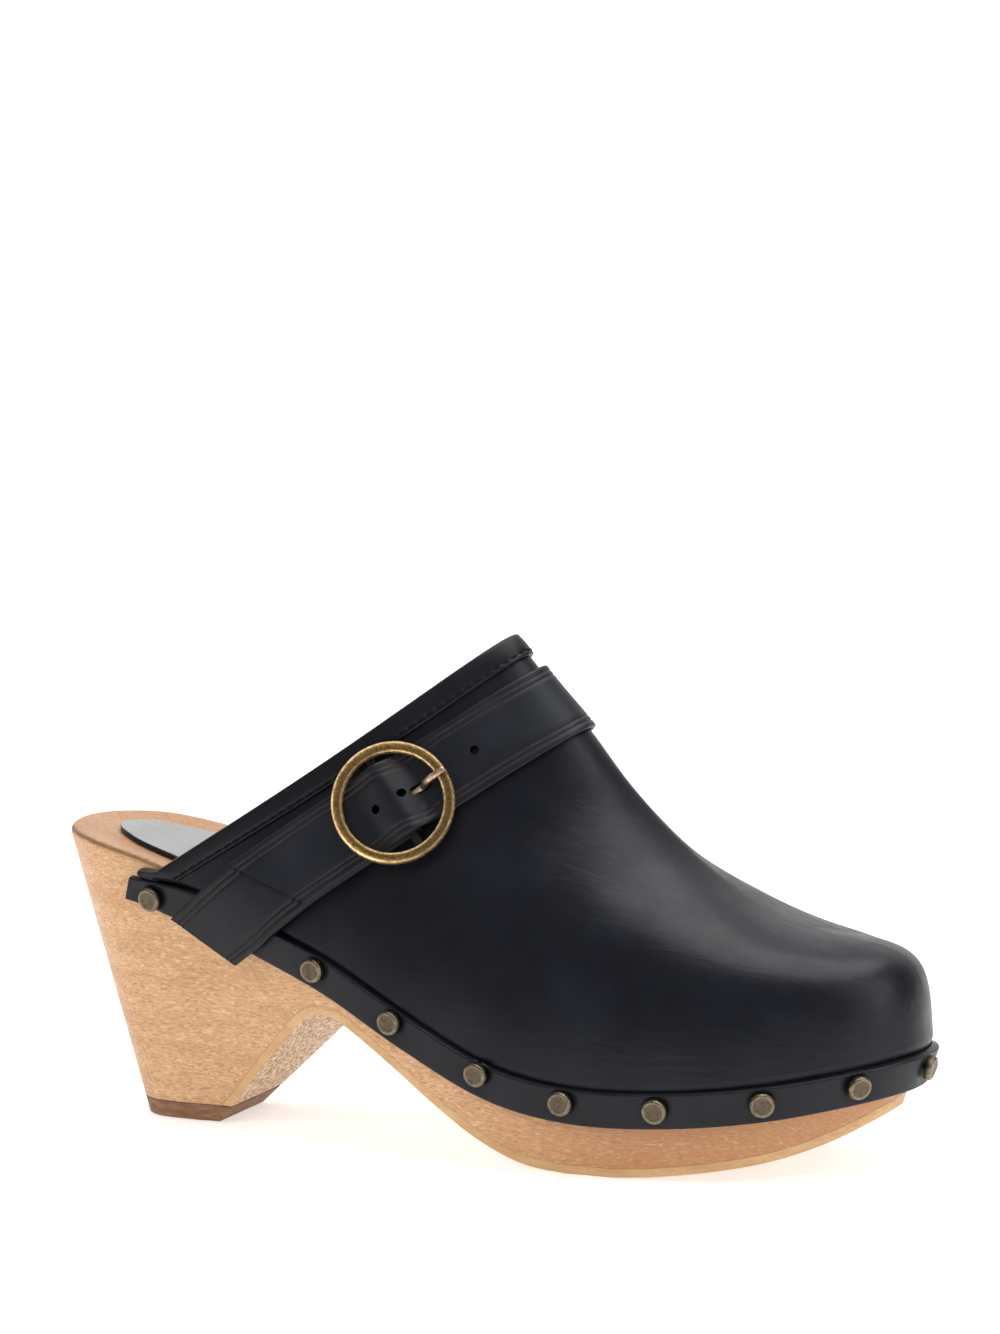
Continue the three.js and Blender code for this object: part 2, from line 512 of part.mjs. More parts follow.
// How much further out each end lies where it passes over the rand.
const overRand = RAND.out - UPPER_OUT + 1.75;
const innerRise = overRand - rest + STRAP.thick / 2;
const outerRise = overRand - chapeTop + CHAPE.thick / 2;
const strapBlank = sweep(strapSection, [-halfWidth, 0, halfWidth],
  ([l, h], across) => strapAt(slant(l, across), across, h, l < 0 ? outerRise : innerRise), true);

// ---------------------------------------------------------------- buckle
const tilt = THREE.MathUtils.degToRad(BUCKLE.tilt);
const ringAxis = seatNormal.clone().multiplyScalar(Math.cos(tilt)).addScaledVector(seatAhead, Math.sin(tilt));
const ringCentre = local(0, 0, BUCKLE.lift);
const [ro, ri, rt] = [BUCKLE.outer, BUCKLE.inner, BUCKLE.thick / 2];
const ringProfile = [[ri, -rt + 0.5], [ri + 0.5, -rt], [ro - 0.5, -rt], [ro, -rt + 0.6], [ro, rt - 0.7],
  [ro - 0.6, rt], [ri + 0.6, rt - 0.25], [ri, rt - 0.8], [ri, -rt + 0.5]];
const ring = turned(ringProfile, 40, ringCentre, ringAxis);
const barLength = ri + 1.2;
const barAt = local(0, -barLength, BUCKLE.barLift);
const barOutline = [[0, 0], [BUCKLE.bar, 0], [BUCKLE.bar, 2 * barLength], [0, 2 * barLength]];
const bar = turned(barOutline, 12, barAt, seatAcross);
const lug = (side) => sweep(
  [[-1.2, 1.9], [1.2, 1.9], [1.2, BUCKLE.lift], [-1.2, BUCKLE.lift]], [ri - 0.6, ri + 1.8],
  ([a, h], b) => local(a, side * b, h));
const buckleFrame = join(ring, bar, lug(1), lug(-1));

// Prong: a loop round the bar and a tongue through the strap onto the ring.
const loopRing = turned([[BUCKLE.bar + GAP, -1.8], [PRONG.loop, -1.8], [PRONG.loop, 1.8],
  [BUCKLE.bar + GAP, 1.8], [BUCKLE.bar + GAP, -1.8]], 16, local(0, 0, BUCKLE.barLift), seatAcross);
const pt = PRONG.thick / 2;
const prongLine = [[1.9, 2.85], [5, 2.0], [7.5, 1.75], [9.3, 2.6], [12.2, 5.3], [13.6, 5.85], [15.6, 5.6]];
const prongSection = [
  ...prongLine.map(([a, h]) => [a, h - pt]), ...prongLine.map(([a, h]) => [a, h + pt]).reverse()];
const tongue = sweep(prongSection, [-PRONG.width / 2, PRONG.width / 2], ([a, h], b) => local(a, b, h));
const prong = join(loopRing, tongue);

// Strap holes: round ones along the middle, a longer one where the prong comes through.
const holeCutter = (along) => {
  const p = strapAt(along, 0, through(strapHeights, along), 0);
  return turned([[0, -2.5], [1.15, -2.5], [1.15, 2.5], [0, 2.5]], 12, p,
    upperNormal(...onPath(qAt(along), 0)));
};
const prongHole = sweep([[-1.4, -0.8], [-0.5, -1.4], [0.5, -1.4], [1.4, -0.8], [1.4, 0.8], [0.5, 1.4],
  [-0.5, 1.4], [-1.4, 0.8]].map(([b, a]) => [a * 2.3, b]), [0.2, 6], ([a, b], h) => local(7.4 + a, b, h));
const strap = cut(strapBlank, prongHole, ...holes.map(holeCutter));

// Chape: strap end folded round the bar; the upper leg runs down over the rand.
const half = CHAPE.thick / 2;
const turn = BUCKLE.bar + GAP + half;
const legTop = [
  [outerEnd, chapeTop], [-24, chapeTop], [-9, chapeTop], [-6, chapeTop + 0.3]];
const legRows = legTop.flatMap(([l, h], i) => {
  if (i === 0) return [[l, h]];
  const [l0, h0] = legTop[i - 1];
  const parts = Math.max(1, Math.round((l - l0) / 4));
  return range(1, parts, 1).map((k) => [mix(l0, l, k / parts), mix(h0, h, smooth(k / parts))]);
});
const loopRows = range(140, -100, -20).map((deg) => {
  const a = THREE.MathUtils.degToRad(deg);
  return [turn * Math.cos(a), BUCKLE.barLift + turn * Math.sin(a)];
});
const underRows = [-4, ...range(-9, -44, -5)].map((l) => [l, BUCKLE.barLift - turn]);
const chapeLine = [...legRows, ...loopRows, ...underRows];
function thickened(line, t) {
  const sides = line.map((p, i) => {
    const a = line[Math.max(0, i - 1)];
    const b = line[Math.min(line.length - 1, i + 1)];
    const length = Math.hypot(b[0] - a[0], b[1] - a[1]);
    return [-(b[1] - a[1]) / length, (b[0] - a[0]) / length];
  });
  return [...line.map(([x, y], i) => [x + t * sides[i][0], y + t * sides[i][1]]),
    ...line.map(([x, y], i) => [x - t * sides[i][0], y - t * sides[i][1]]).reverse()];
}
// Its end on the rand is cut a little off square.
const endSlant = (along, across) => along
  - (1.8 + 0.43 * across) * smooth((randTop + 6 - along) / (randTop + 6 - outerEnd));
const chapeBlank = sweep(thickened(chapeLine, half), [-1, -0.5, 0, 0.5, 1].map((k) => k * halfWidth),
  ([l, h], across) => strapAt(endSlant(l, across), across, h, outerRise), true);
const slotHalf = CHAPE.slot / 2;
const chapeSlot = sweep([[-6.5, -1], [5, -1], [5, 8], [-6.5, 8]], [-slotHalf, slotHalf],
  ([a, h], b) => local(a, b, h));
const chape = cut(chapeBlank, chapeSlot);

// ---------------------------------------------------------------- heel sock pad
const sockStations = range(0, 1, 1 / 14);
const [dishDepth, dishInset] = woodRings[woodRings.length - 1];
// Point of the dished footbed x mm from the heel back and b mm off its middle line.
const dishPoint = (w) => {
  const f = wallFrame(w);
  const p = f.top.clone().addScaledVector(V(f.out.x, f.out.y, 0).normalize(), -dishInset);
  return p.setZ(p.z - dishDepth);
};
function footbed(x, b) {
  let [lo, hi] = [0.4, 9];
  const middle = (t) => dishPoint(t).lerp(dishPoint(LOOP - t), 0.5);
  for (let i = 0; i < 24; i++) { const m = (lo + hi) / 2; if (middle(m).x < x) lo = m; else hi = m; }
  const across = dishPoint(LOOP - lo).sub(dishPoint(lo)).normalize();
  return middle(lo).addScaledVector(across, b);
}
const sockHalf = (t) => SOCK.half * Math.sqrt(Math.max(0.012, 1 - Math.abs(2 * t - 1) ** 2.3));
const sockSection = [[-1, 0], [1, 0], [0.99, 0.7], [0.94, 1], [-0.94, 1], [-0.99, 0.7]];
const heelSock = sweep(sockSection, sockStations, ([b, k], t) => {
  const p = footbed(mix(SOCK.rear, SOCK.front, t), b * sockHalf(t));
  return p.setZ(p.z + 0.35 + k * SOCK.thick);
});

// ---------------------------------------------------------------- assembly
const MATERIALS = {
  wood: [0xd9a873, 0.55, 0], rubber: [0xb58a5a, 0.8, 0], tip: [0x7d5a3c, 0.75, 0],
  leather: [0x15161a, 0.45, 0], edge: [0x1b1c20, 0.5, 0], lining: [0x3a3431, 0.7, 0],
  board: [0x6b5b4a, 0.8, 0], brass: [0x8a7449, 0.4, 1], sock: [0x55555a, 0.5, 0] };
const nodes = [
  ['wooden_sole', woodenSole, 'wood'], ['outsole', outsole, 'rubber'], ['heel_tip', heelTip, 'tip'],
  ['heel_sock', heelSock, 'sock'], ['vamp_upper', vampUpper, 'leather'], ['vamp_lining', lining, 'lining'],
  ['toe_puff', toePuff, 'board'], ['topline_binding', binding, 'edge'], ['rand_strip', randStrip, 'edge'],
  ['strap', strap, 'leather'], ['buckle_chape', chape, 'leather'], ['buckle_frame', buckleFrame, 'brass'],
  ['buckle_prong', prong, 'brass'], ['heel_stud', studBody, 'brass'],
  ...nailSites.map(([name, { seat, axis }]) => [name, turned(nailProfile, 10, seat, axis), 'brass'])];

const clog = new THREE.Group();
clog.name = 'wooden_clog';
for (const [name, g, kind] of nodes) {
  const [color, roughness, metalness] = MATERIALS[kind];
  const mesh = new THREE.Mesh(g, new THREE.MeshStandardMaterial({ color, roughness, metalness }));
  mesh.name = name;
  clog.add(mesh);
}
const box = new THREE.Box3().setFromObject(clog);
const middle = box.getCenter(V(0, 0, 0));
for (const mesh of clog.children) {
  mesh.geometry.translate(-middle.x, -middle.y, -box.min.z);
  mesh.geometry.computeVertexNormals();
}
export default clog;
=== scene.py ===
# Fine visual model of the wooden clog: carved sole, nailed leather upper and buckled strap.
# Shapes are worked out in the shoe's drafting frame, in millimetres: X from the heel back to the
# toe, Y towards the inner side of the foot, Z up. DRAFT_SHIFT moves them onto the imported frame.
import math

import bmesh
import bpy
import numpy as np
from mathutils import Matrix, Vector

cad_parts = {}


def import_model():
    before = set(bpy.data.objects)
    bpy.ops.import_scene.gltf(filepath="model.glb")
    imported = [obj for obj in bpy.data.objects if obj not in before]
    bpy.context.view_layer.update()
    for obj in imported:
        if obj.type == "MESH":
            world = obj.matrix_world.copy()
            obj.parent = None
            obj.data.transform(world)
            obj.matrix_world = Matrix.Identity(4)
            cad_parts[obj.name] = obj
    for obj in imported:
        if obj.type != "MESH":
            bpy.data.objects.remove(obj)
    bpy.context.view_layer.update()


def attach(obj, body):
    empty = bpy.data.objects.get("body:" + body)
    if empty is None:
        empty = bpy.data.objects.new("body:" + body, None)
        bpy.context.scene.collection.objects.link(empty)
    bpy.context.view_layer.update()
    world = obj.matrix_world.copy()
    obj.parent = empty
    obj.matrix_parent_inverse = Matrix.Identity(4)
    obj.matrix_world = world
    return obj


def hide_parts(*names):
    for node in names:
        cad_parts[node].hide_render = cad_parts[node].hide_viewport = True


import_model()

# ------------------------------------------------------------------ driving dimensions, mm
DRAFT_SHIFT = np.array([-118.3494, -1.919, 0.0])
GAP = 0.3
VAMP = 1.5
LINING = 0.8
PUFF = 0.8
UPPER_OUT = 2.0
RAND_HEIGHT, RAND_THICK, RAND_OUT = 9.2, 2.0, 4.3
NAIL_HEAD, NAIL_PROUD, NAIL_SHANK, NAIL_LENGTH = 3.15, 1.7, 0.7, 7.0
STUD, STUD_DROP = (2.2, 1.3, 6.0), 10.0     # radius, proud and length; depth below the footbed edge
OUTSOLE = 2.3
HEEL_TIP = 4.5
RIM = 2.2                        # rounding of the footbed's edge
BINDING_WIDTH, BINDING_THICK = 6.0, 0.9
STRAP_WIDTH, STRAP_THICK, STRAP_OFFSET = 20.0, 1.4, 21.2
TAIL_TIP, TAIL_SLANT, TAIL_CURL = -38.6, 32.0, 0.45
CHAPE_THICK, CHAPE_SLOT = 1.2, 4.8
RING_OUTER, RING_INNER, RING_THICK = 15.8, 12.9, 2.6
BAR, BUCKLE_ACROSS, RING_TILT, RING_LIFT, BAR_LIFT = 1.1, -0.9, 8.5, 5.5, 2.95
PRONG_WIDTH, PRONG_THICK, PRONG_LOOP = 1.8, 1.5, 2.35
SOCK_REAR, SOCK_FRONT, SOCK_HALF, SOCK_THICK = 11.5, 90.0, 18.3, 1.2
BAR_PAINTED_SHADE = -1.0                 # rim share that marks the buckle's bar and lugs, painted near black as shade
STITCH_PITCH, STITCH_LENGTH, THREAD = 2.9, 2.25, 0.3
PUNCHED, PRONG_HOLE = (-4.6, 3.2, 23.8), 7.9     # round holes and the prong's, along the strap
CREASES = (1.8, 3.2)             # distance of the pressed lines from each edge of the strap

# Sole outline, heel back to toe tip: x, outer y, inner y, height of the footbed edge.
TOP_EDGE = np.array([
    [-1.5, 0, 0, 77.0], [2.5, -15, 14, 76.6], [14, -25.5, 24, 75.2], [32, -29.5, 28, 71.5],
    [50, -30.3, 28.5, 65.8], [70, -31, 29, 58.3], [88, -32.5, 30, 50.8], [110, -35, 33, 39.3],
    [133, -37, 38, 28.8], [155, -37.5, 41.5, 24.8], [178, -36, 41.5, 25.3], [200, -30.5, 37.5, 27.8],
    [218, -20, 29, 31.0], [229, -8, 17.5, 33.2], [232.5, 4, 4, 33.8]])
# The same outline where the side walls reach the ground: x, outer y, inner y.
GROUND_EDGE = np.array([
    [21.5, 0, 0], [22.3, -9, 8], [28, -14.5, 11.5], [38, -15.5, 11.5],
    [48, -15.5, 11.5], [66, -21, 18], [86, -28, 24.5], [108, -31.5, 29],
    [133, -33.5, 33.5], [155, -34, 37], [177, -32.5, 37], [197, -27, 32.5],
    [211.5, -16.5, 22.5], [220, -6.5, 13.5], [222.5, 3.5, 3.5]])
# Underside in side view, heel breast to toe: x, z.
UNDERSIDE = np.array([
    [73.5, 29.3], [78.5, 33.3], [84.5, 34.3], [91, 31.6], [103.5, 23.4], [116, 14.4], [128, 6.6], [140, 1.5],
    [152, 0], [158, 0], [164, 0], [176, 1.0], [190, 3.0], [203, 5.6], [214, 9.2], [224, 14.2], [236, 21.5]])
BREAST_FOOT = 46.0
# Ribs of the upper, topline to toe: outline station, ridge x, side fullness, top fullness,
# how far the rib leaves the topline plane, forward sag.
RIBS = np.array([
    [3.3, 122.5, .40, .42, 0, 3], [4, 131, .40, .44, 0, 2.5], [5, 144, .42, .46, 0, 1.5],
    [6, 154, .45, .48, .1, .5], [7, 163, .49, .52, .25, 0], [8, 172, .53, .55, .45, 0],
    [9, 180.5, .60, .62, .65, 0], [10, 188.5, .68, .71, .8, 0], [11, 196, .78, .81, .95, 0],
    [12, 202, .87, .88, 1, 0], [13, 206.5, .93, .92, 1, 0], [14, 208.5, .95, .93, 1, 0]])
# Ridge line of the upper in side view: x, z.
RIDGE = np.array([
    [114, 138.5], [124, 129.3], [134, 117.8], [144, 107], [154, 95], [164, 84.5], [174, 75.6],
    [184, 68.4], [194, 63], [204, 60], [214, 58.5]])
# The prong from its loop to its tip: along the strap, height off the upper.
PRONG_LINE = np.array([
    [1.65, 3.15], [2.4, 2.65], [3.4, 2.3], [5, 1.95], [6.6, 1.8], [7.9, 2.0], [8.8, 3.0], [9.6, 4.3],
    [10.9, 5.35], [12.4, 5.85], [14.0, 5.95], [15.7, 5.85]])
# Nails along each side: outline station, height above the rand's middle line.
SIDE_NAILS = [(3.2, 0), (5.8, 0.6), (6.86, 0.9), (7.92, 1.7), (8.94, 0.9), (9.98, 0.5), (11.12, 0.5),
              (12.3, 0.9)]
TOE_NAIL = (13.9, 0.8)
TOE_STATION = len(TOP_EDGE) - 1
LOOP = 2 * TOE_STATION
LAST_RIB = len(RIBS) - 1
SKIRT = 10.0                     # length of one unit of q below the footbed edge
TOPLINE = 0.1                    # rib at the upper's cut edge
REAR = 2.86                      # outline station where the rand ends
BUCKLE_Q = -0.6                  # where the buckle's centre sits along the strap's path
PUFF_START = 6.6                 # rib where the toe puff begins
SKIRT_SHORT = 0.7                # how far the skirt stays above the rand's lower edge
VAMP_SWELL = 0.16                # how far the vamp's leather swells and hollows
STRAP_STATION = 4.6              # outline station where the strap comes down over the rand
DISH_DEPTH, DISH_INSET = 1.9, 10.0
WELD = 2e-6                      # metres within which two mesh points are one
BEYOND = 60                      # half width of the cutting prisms, wider than the shoe
# Camera angles in degrees and its distance in metres.
VIEW_AZIMUTH, VIEW_ELEVATION, VIEW_DISTANCE = 23.0, 10.0, 1.150


# ------------------------------------------------------------------ small maths on arrays
def mix(a, b, t):
    return a + (b - a) * t


def arrays(*values):
    """Numbers and arrays as float arrays of one common shape."""
    return np.broadcast_arrays(*(np.asarray(v, float) for v in values))


def full_turn(count):
    return np.linspace(0, 2 * math.pi, count, endpoint=False)


def smooth(t):
    c = np.clip(t, 0, 1)
    return c * c * (3 - 2 * c)


def squared(c, power):
    """A cosine or sine pulled towards a square's side."""
    return np.sign(c) * np.abs(c) ** power


def unit(v):
    return v / np.maximum(np.linalg.norm(v, axis=-1, keepdims=True), 1e-12)


def bezier(a, b, c, d, t):
    u = 1 - t
    return a * u ** 3 + 3 * b * u * u * t + 3 * c * u * t * t + d * t ** 3


def stations(a, b, step):
    return np.linspace(a, b, max(2, int(round(abs(b - a) / step)) + 1))


def spline(rows, t, mirrored=False):
    """Catmull-Rom curve through table rows; a mirrored table runs on round heel and toe."""
    n = len(rows) - 1
    if mirrored:
        before, after = rows[1].copy(), rows[n - 1].copy()
        before[[1, 2]] = before[[2, 1]]
        after[[1, 2]] = after[[2, 1]]
    else:
        before, after = 2 * rows[0] - rows[1], 2 * rows[n] - rows[n - 1]
    padded = np.vstack([before, rows, after])
    t = np.asarray(t, float)
    i = np.clip(np.floor(t).astype(int), 0, n - 1)
    f = (t - i)[..., None]
    a, b, c, d = padded[i], padded[i + 1], padded[i + 2], padded[i + 3]
    return 0.5 * (2 * b + (c - a) * f + (2 * a - 5 * b + 4 * c - d) * f * f
                  + (3 * b - a - 3 * c + d) * f ** 3)


def arc_length(line):
    """Length along a line of points, from 0 at its first."""
    return np.concatenate([[0], np.cumsum(np.linalg.norm(np.diff(line, axis=0), axis=1))])


def halved(shape, lo, hi, steps, is_low):
    """Narrows lo to hi by halves for every element; is_low tells where a trial value is too low."""
    lo, hi = np.full(shape, lo), np.full(shape, hi)
    for _ in range(steps):
        m = (lo + hi) / 2
        low = is_low(m)
        lo, hi = np.where(low, m, lo), np.where(low, hi, m)
    return lo, hi


def waves(p, scale, seed, octaves=2):
    """Smooth seeded noise from a few crossing waves, about -1 to 1, at points p."""
    rng = np.random.default_rng(seed)
    total = np.zeros(p.shape[:-1])
    for k in range(octaves):
        for _ in range(4):
            direction = unit(rng.normal(size=3)) / (scale * 0.6 ** k)
            total += 0.25 * 0.55 ** k * np.sin(p @ direction * 2 * math.pi + rng.uniform(0, 6.28))
    return total


# ------------------------------------------------------------------ side wall of the sole
def outline(w):
    """Points of the top and ground edges at station w, which runs on from the toe up the inner side."""
    t = np.mod(w, LOOP)
    outer = t <= TOE_STATION
    tau = np.where(outer, t, LOOP - t)
    top = spline(TOP_EDGE, tau, True)
    ground = spline(GROUND_EDGE, tau, True)
    y = np.where(outer, top[..., 1], top[..., 2])
    gy = np.where(outer, ground[..., 1], ground[..., 2])
    return np.stack([top[..., 0], y, top[..., 3]], -1), np.stack([ground[..., 0], gy, 0 * gy], -1)


def wall_frame(w):
    w = np.asarray(w, float)
    top, ground = outline(w)
    down = unit(ground - top)
    along = unit(outline(w + 0.02)[0] - outline(w - 0.02)[0])
    return top, down, unit(np.cross(down, along))


def wall(w, drop, out):
    """Point on the side wall: drop down it from the footbed edge, out from it."""
    top, down, outward = wall_frame(w)
    return top + down * np.asarray(drop, float)[..., None] + outward * np.asarray(out, float)[..., None]


def side_station(w):
    return np.where(np.asarray(w) <= TOE_STATION, w, LOOP - np.asarray(w))


def rand_drop(w):
    """Drop of the rand's upper edge below the footbed edge."""
    tau = side_station(w)
    return 1.0 + 3.8 * (1 - smooth((tau - 2.6) / 1.5)) + smooth((tau - 9) / 4)


def rand_share(w):
    """Share of the rand's full height: it narrows towards its rear ends."""
    return 1 - 0.24 * (1 - smooth((side_station(w) - REAR) / 0.9))


def rand_station(w, depth):
    """Outline station of a point below the rand's upper edge; the rear ends lean back."""
    back = 0.016 * depth * (1 - smooth((side_station(w) - REAR) / 0.8))
    return np.where(np.asarray(w) <= TOE_STATION, w - back, w + back)


# ------------------------------------------------------------------ surface of the upper
def ridge_z(x):
    return spline(RIDGE, (x - RIDGE[0, 0]) / 10)[..., 1]


def ridge_slope(x):
    return (ridge_z(x + 1) - ridge_z(x - 1)) / 2


def ridge_y(x):
    return 1 + 3 * smooth((x - 122) / 86)


def upper(s0, q0):
    """Point of the upper: s counts ribs to the toe, q is -1 at the outer edge, 0 on the ridge."""
    s0, q0 = arrays(s0, q0)
    past = s0 > LAST_RIB
    s, q = np.where(past, 2 * LAST_RIB - s0, s0), np.where(past, -q0, q0)
    tau, xr, side, top, leave, sag = np.moveaxis(spline(RIBS, s), -1, 0)
    drop = np.maximum(0, np.abs(q) - 1) * SKIRT
    wing = 0.42 * smooth(drop / 3) * np.clip(1 - s, 0, 1.5)
    w = np.where(q <= 0, tau - wing, LOOP - tau + wing)
    edge = wall(w, drop, 0 * drop + UPPER_OUT)
    v = np.maximum(0, 1 - np.abs(q))
    c, h = bezier(1, 1 - 0.05 * leave, top, 0, v), bezier(0, side, 1, 1, v)
    x = xr + (edge[..., 0] - xr) * ((1 - leave) * (1 - h) + leave * c) + sag * np.sin(np.pi * h)
    y = ridge_y(xr) + (edge[..., 1] - ridge_y(xr)) * c
    z = edge[..., 2] + (ridge_z(xr) + ridge_slope(xr) * (x - xr) * leave - edge[..., 2]) * h
    return np.where((drop > 0)[..., None], edge, np.stack([x, y, z], -1))


def upper_normal(s, q):
    s, q = arrays(s, q)
    ds = upper(s + 0.02, q) - upper(s - 0.02, q)
    dq = upper(s, q + 0.01) - upper(s, q - 0.01)
    n = np.cross(ds, dq)
    weak = np.linalg.norm(n, axis=-1) < 1e-7
    n = unit(n)
    n[weak] = unit(np.array([-float(ridge_slope(np.array(208.0))), 0, 1]))
    return np.where((s > LAST_RIB)[..., None], -n, n)


def off_upper(s, q, out):
    return upper(s, q) + upper_normal(s, q) * np.asarray(out, float)[..., None]


# ------------------------------------------------------------------ mesh building
def to_frame(points):
    return (np.asarray(points) + DRAFT_SHIFT) * 0.001


def add_object(name, data):
    made = bpy.data.objects.new(name, data)
    bpy.context.scene.collection.objects.link(made)
    return made


def make_object(name, points, faces, span=None):
    """A closed mesh object from draft points; span gives each point two numbers kept as a UV map."""
    mesh = bpy.data.meshes.new(name)
    points = to_frame(np.asarray(points, float).reshape(-1, 3))
    mesh.from_pydata(points.tolist(), [], [list(map(int, f)) for f in faces])
    if span is not None:
        layer = mesh.uv_layers.new(name="span")
        corner = np.empty(len(mesh.loops), np.int32)
        mesh.loops.foreach_get("vertex_index", corner)
        layer.data.foreach_set("uv", np.asarray(span, np.float32).reshape(-1, 2)[corner].ravel())
    work = bmesh.new()
    work.from_mesh(mesh)
    bmesh.ops.remove_doubles(work, verts=work.verts, dist=WELD)
    bmesh.ops.recalc_face_normals(work, faces=work.faces)
    work.to_mesh(mesh)
    work.free()
    return add_object(name, mesh)


def shade(piece, angle):
    piece.data.shade_smooth()
    piece.data.set_sharp_from_angle(angle=math.radians(angle))


def build(name, points, faces, material, slot, body="shoe", replaces=(), angle=35, span=None):
    """A smooth-shaded piece of the shoe on its body, with its material; the slot argument is not used."""
    piece = make_object(name, points, faces, span)
    piece.data.materials.append(material)
    shade(piece, angle)
    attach(piece, body)
    if replaces:
        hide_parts(*replaces)
    return piece


def tube_faces(count, around, ribbon=False):
    """Faces of a closed section of `around` points carried through `count` stations, with its two
    ends closed by one face each, or by a strip of faces across the section where ribbon is set."""
    faces = []
    for a in range(0, (count - 1) * around, around):
        b = a + around
        faces += [(a + i, a + (i + 1) % around, b + (i + 1) % around, b + i) for i in range(around)]
    last = (count - 1) * around
    if not ribbon:
        return faces + [tuple(range(around))[::-1], tuple(last + i for i in range(around))]
    for i in range(around // 2 - 1):
        j = around - 1 - i
        faces += [(i, j, j - 1, i + 1), (last + i, last + i + 1, last + j - 1, last + j)]
    return faces


def grid_faces(nu, nv, first=0, flip=False):
    faces = []
    for i in range(nu - 1):
        for j in range(nv - 1):
            a = first + i * nv + j
            quad = (a, a + nv, a + nv + 1, a + 1)
            faces.append(quad[::-1] if flip else quad)
    return faces


def shell(outer, inner):
    """Closed skin between two grids: rims join their first row and their two side borders, and the
    last row folds onto itself."""
    nu, nv = outer.shape[:2]
    base = nu * nv
    faces = grid_faces(nu, nv) + grid_faces(nu, nv, base, True)
    for line in (range(nv), range(0, base, nv), range(nv - 1, base, nv)):
        faces += [(a, b, base + b, base + a) for a, b in zip(line, line[1:])]
    return np.concatenate([outer.reshape(-1, 3), inner.reshape(-1, 3)]), faces


def lathe(profile, origin, axis, segments):
    """Points and faces of a body turned about an axis; the profile runs from axis to axis or closes."""
    axis = unit(np.asarray(axis, float))
    side = unit(np.cross(axis, [0.31, 0.17, 0.93]))
    other = np.cross(axis, side)
    profile = np.asarray(profile, float)
    closed = np.allclose(profile[0], profile[-1])
    rows = profile[:-1] if closed else profile
    turn = full_turn(segments)
    radial = np.cos(turn)[:, None] * side + np.sin(turn)[:, None] * other
    points = origin + rows[None, :, :1] * radial[:, None] + rows[None, :, 1:] * axis
    n = len(rows)
    faces = []
    for k in range(segments):
        a, b = k * n, (k + 1) % segments * n
        faces += [(a + i, a + (i + 1) % n, b + (i + 1) % n, b + i) for i in range(n if closed else n - 1)]
    return points.reshape(-1, 3), faces


def rim_span(rim):
    """UV rows that hold how far each point is on a rubbed rim."""
    return np.stack([0 * np.asarray(rim), rim], -1)


def carve(piece, points, faces, operation="DIFFERENCE"):
    """Cuts a piece with, or keeps of it only, another closed shape given in draft points."""
    cutter = make_object("cutter", points, faces)
    modifier = piece.modifiers.new("carve", "BOOLEAN")
    modifier.operation, modifier.object, modifier.solver = operation, cutter, "EXACT"
    apply_modifiers(piece)
    bpy.data.objects.remove(cutter)


def apply_modifiers(piece):
    bpy.context.view_layer.update()
    evaluated = piece.evaluated_get(bpy.context.evaluated_depsgraph_get())
    made = bpy.data.meshes.new_from_object(evaluated)
    piece.modifiers.clear()
    piece.data = made


def round_edges(piece, width_mm, segments=3, angle=38):
    modifier = piece.modifiers.new("edge", "BEVEL")
    modifier.width, modifier.segments = width_mm * 0.001, segments
    modifier.limit_method, modifier.angle_limit = "ANGLE", math.radians(angle)
    apply_modifiers(piece)
    shade(piece, angle)


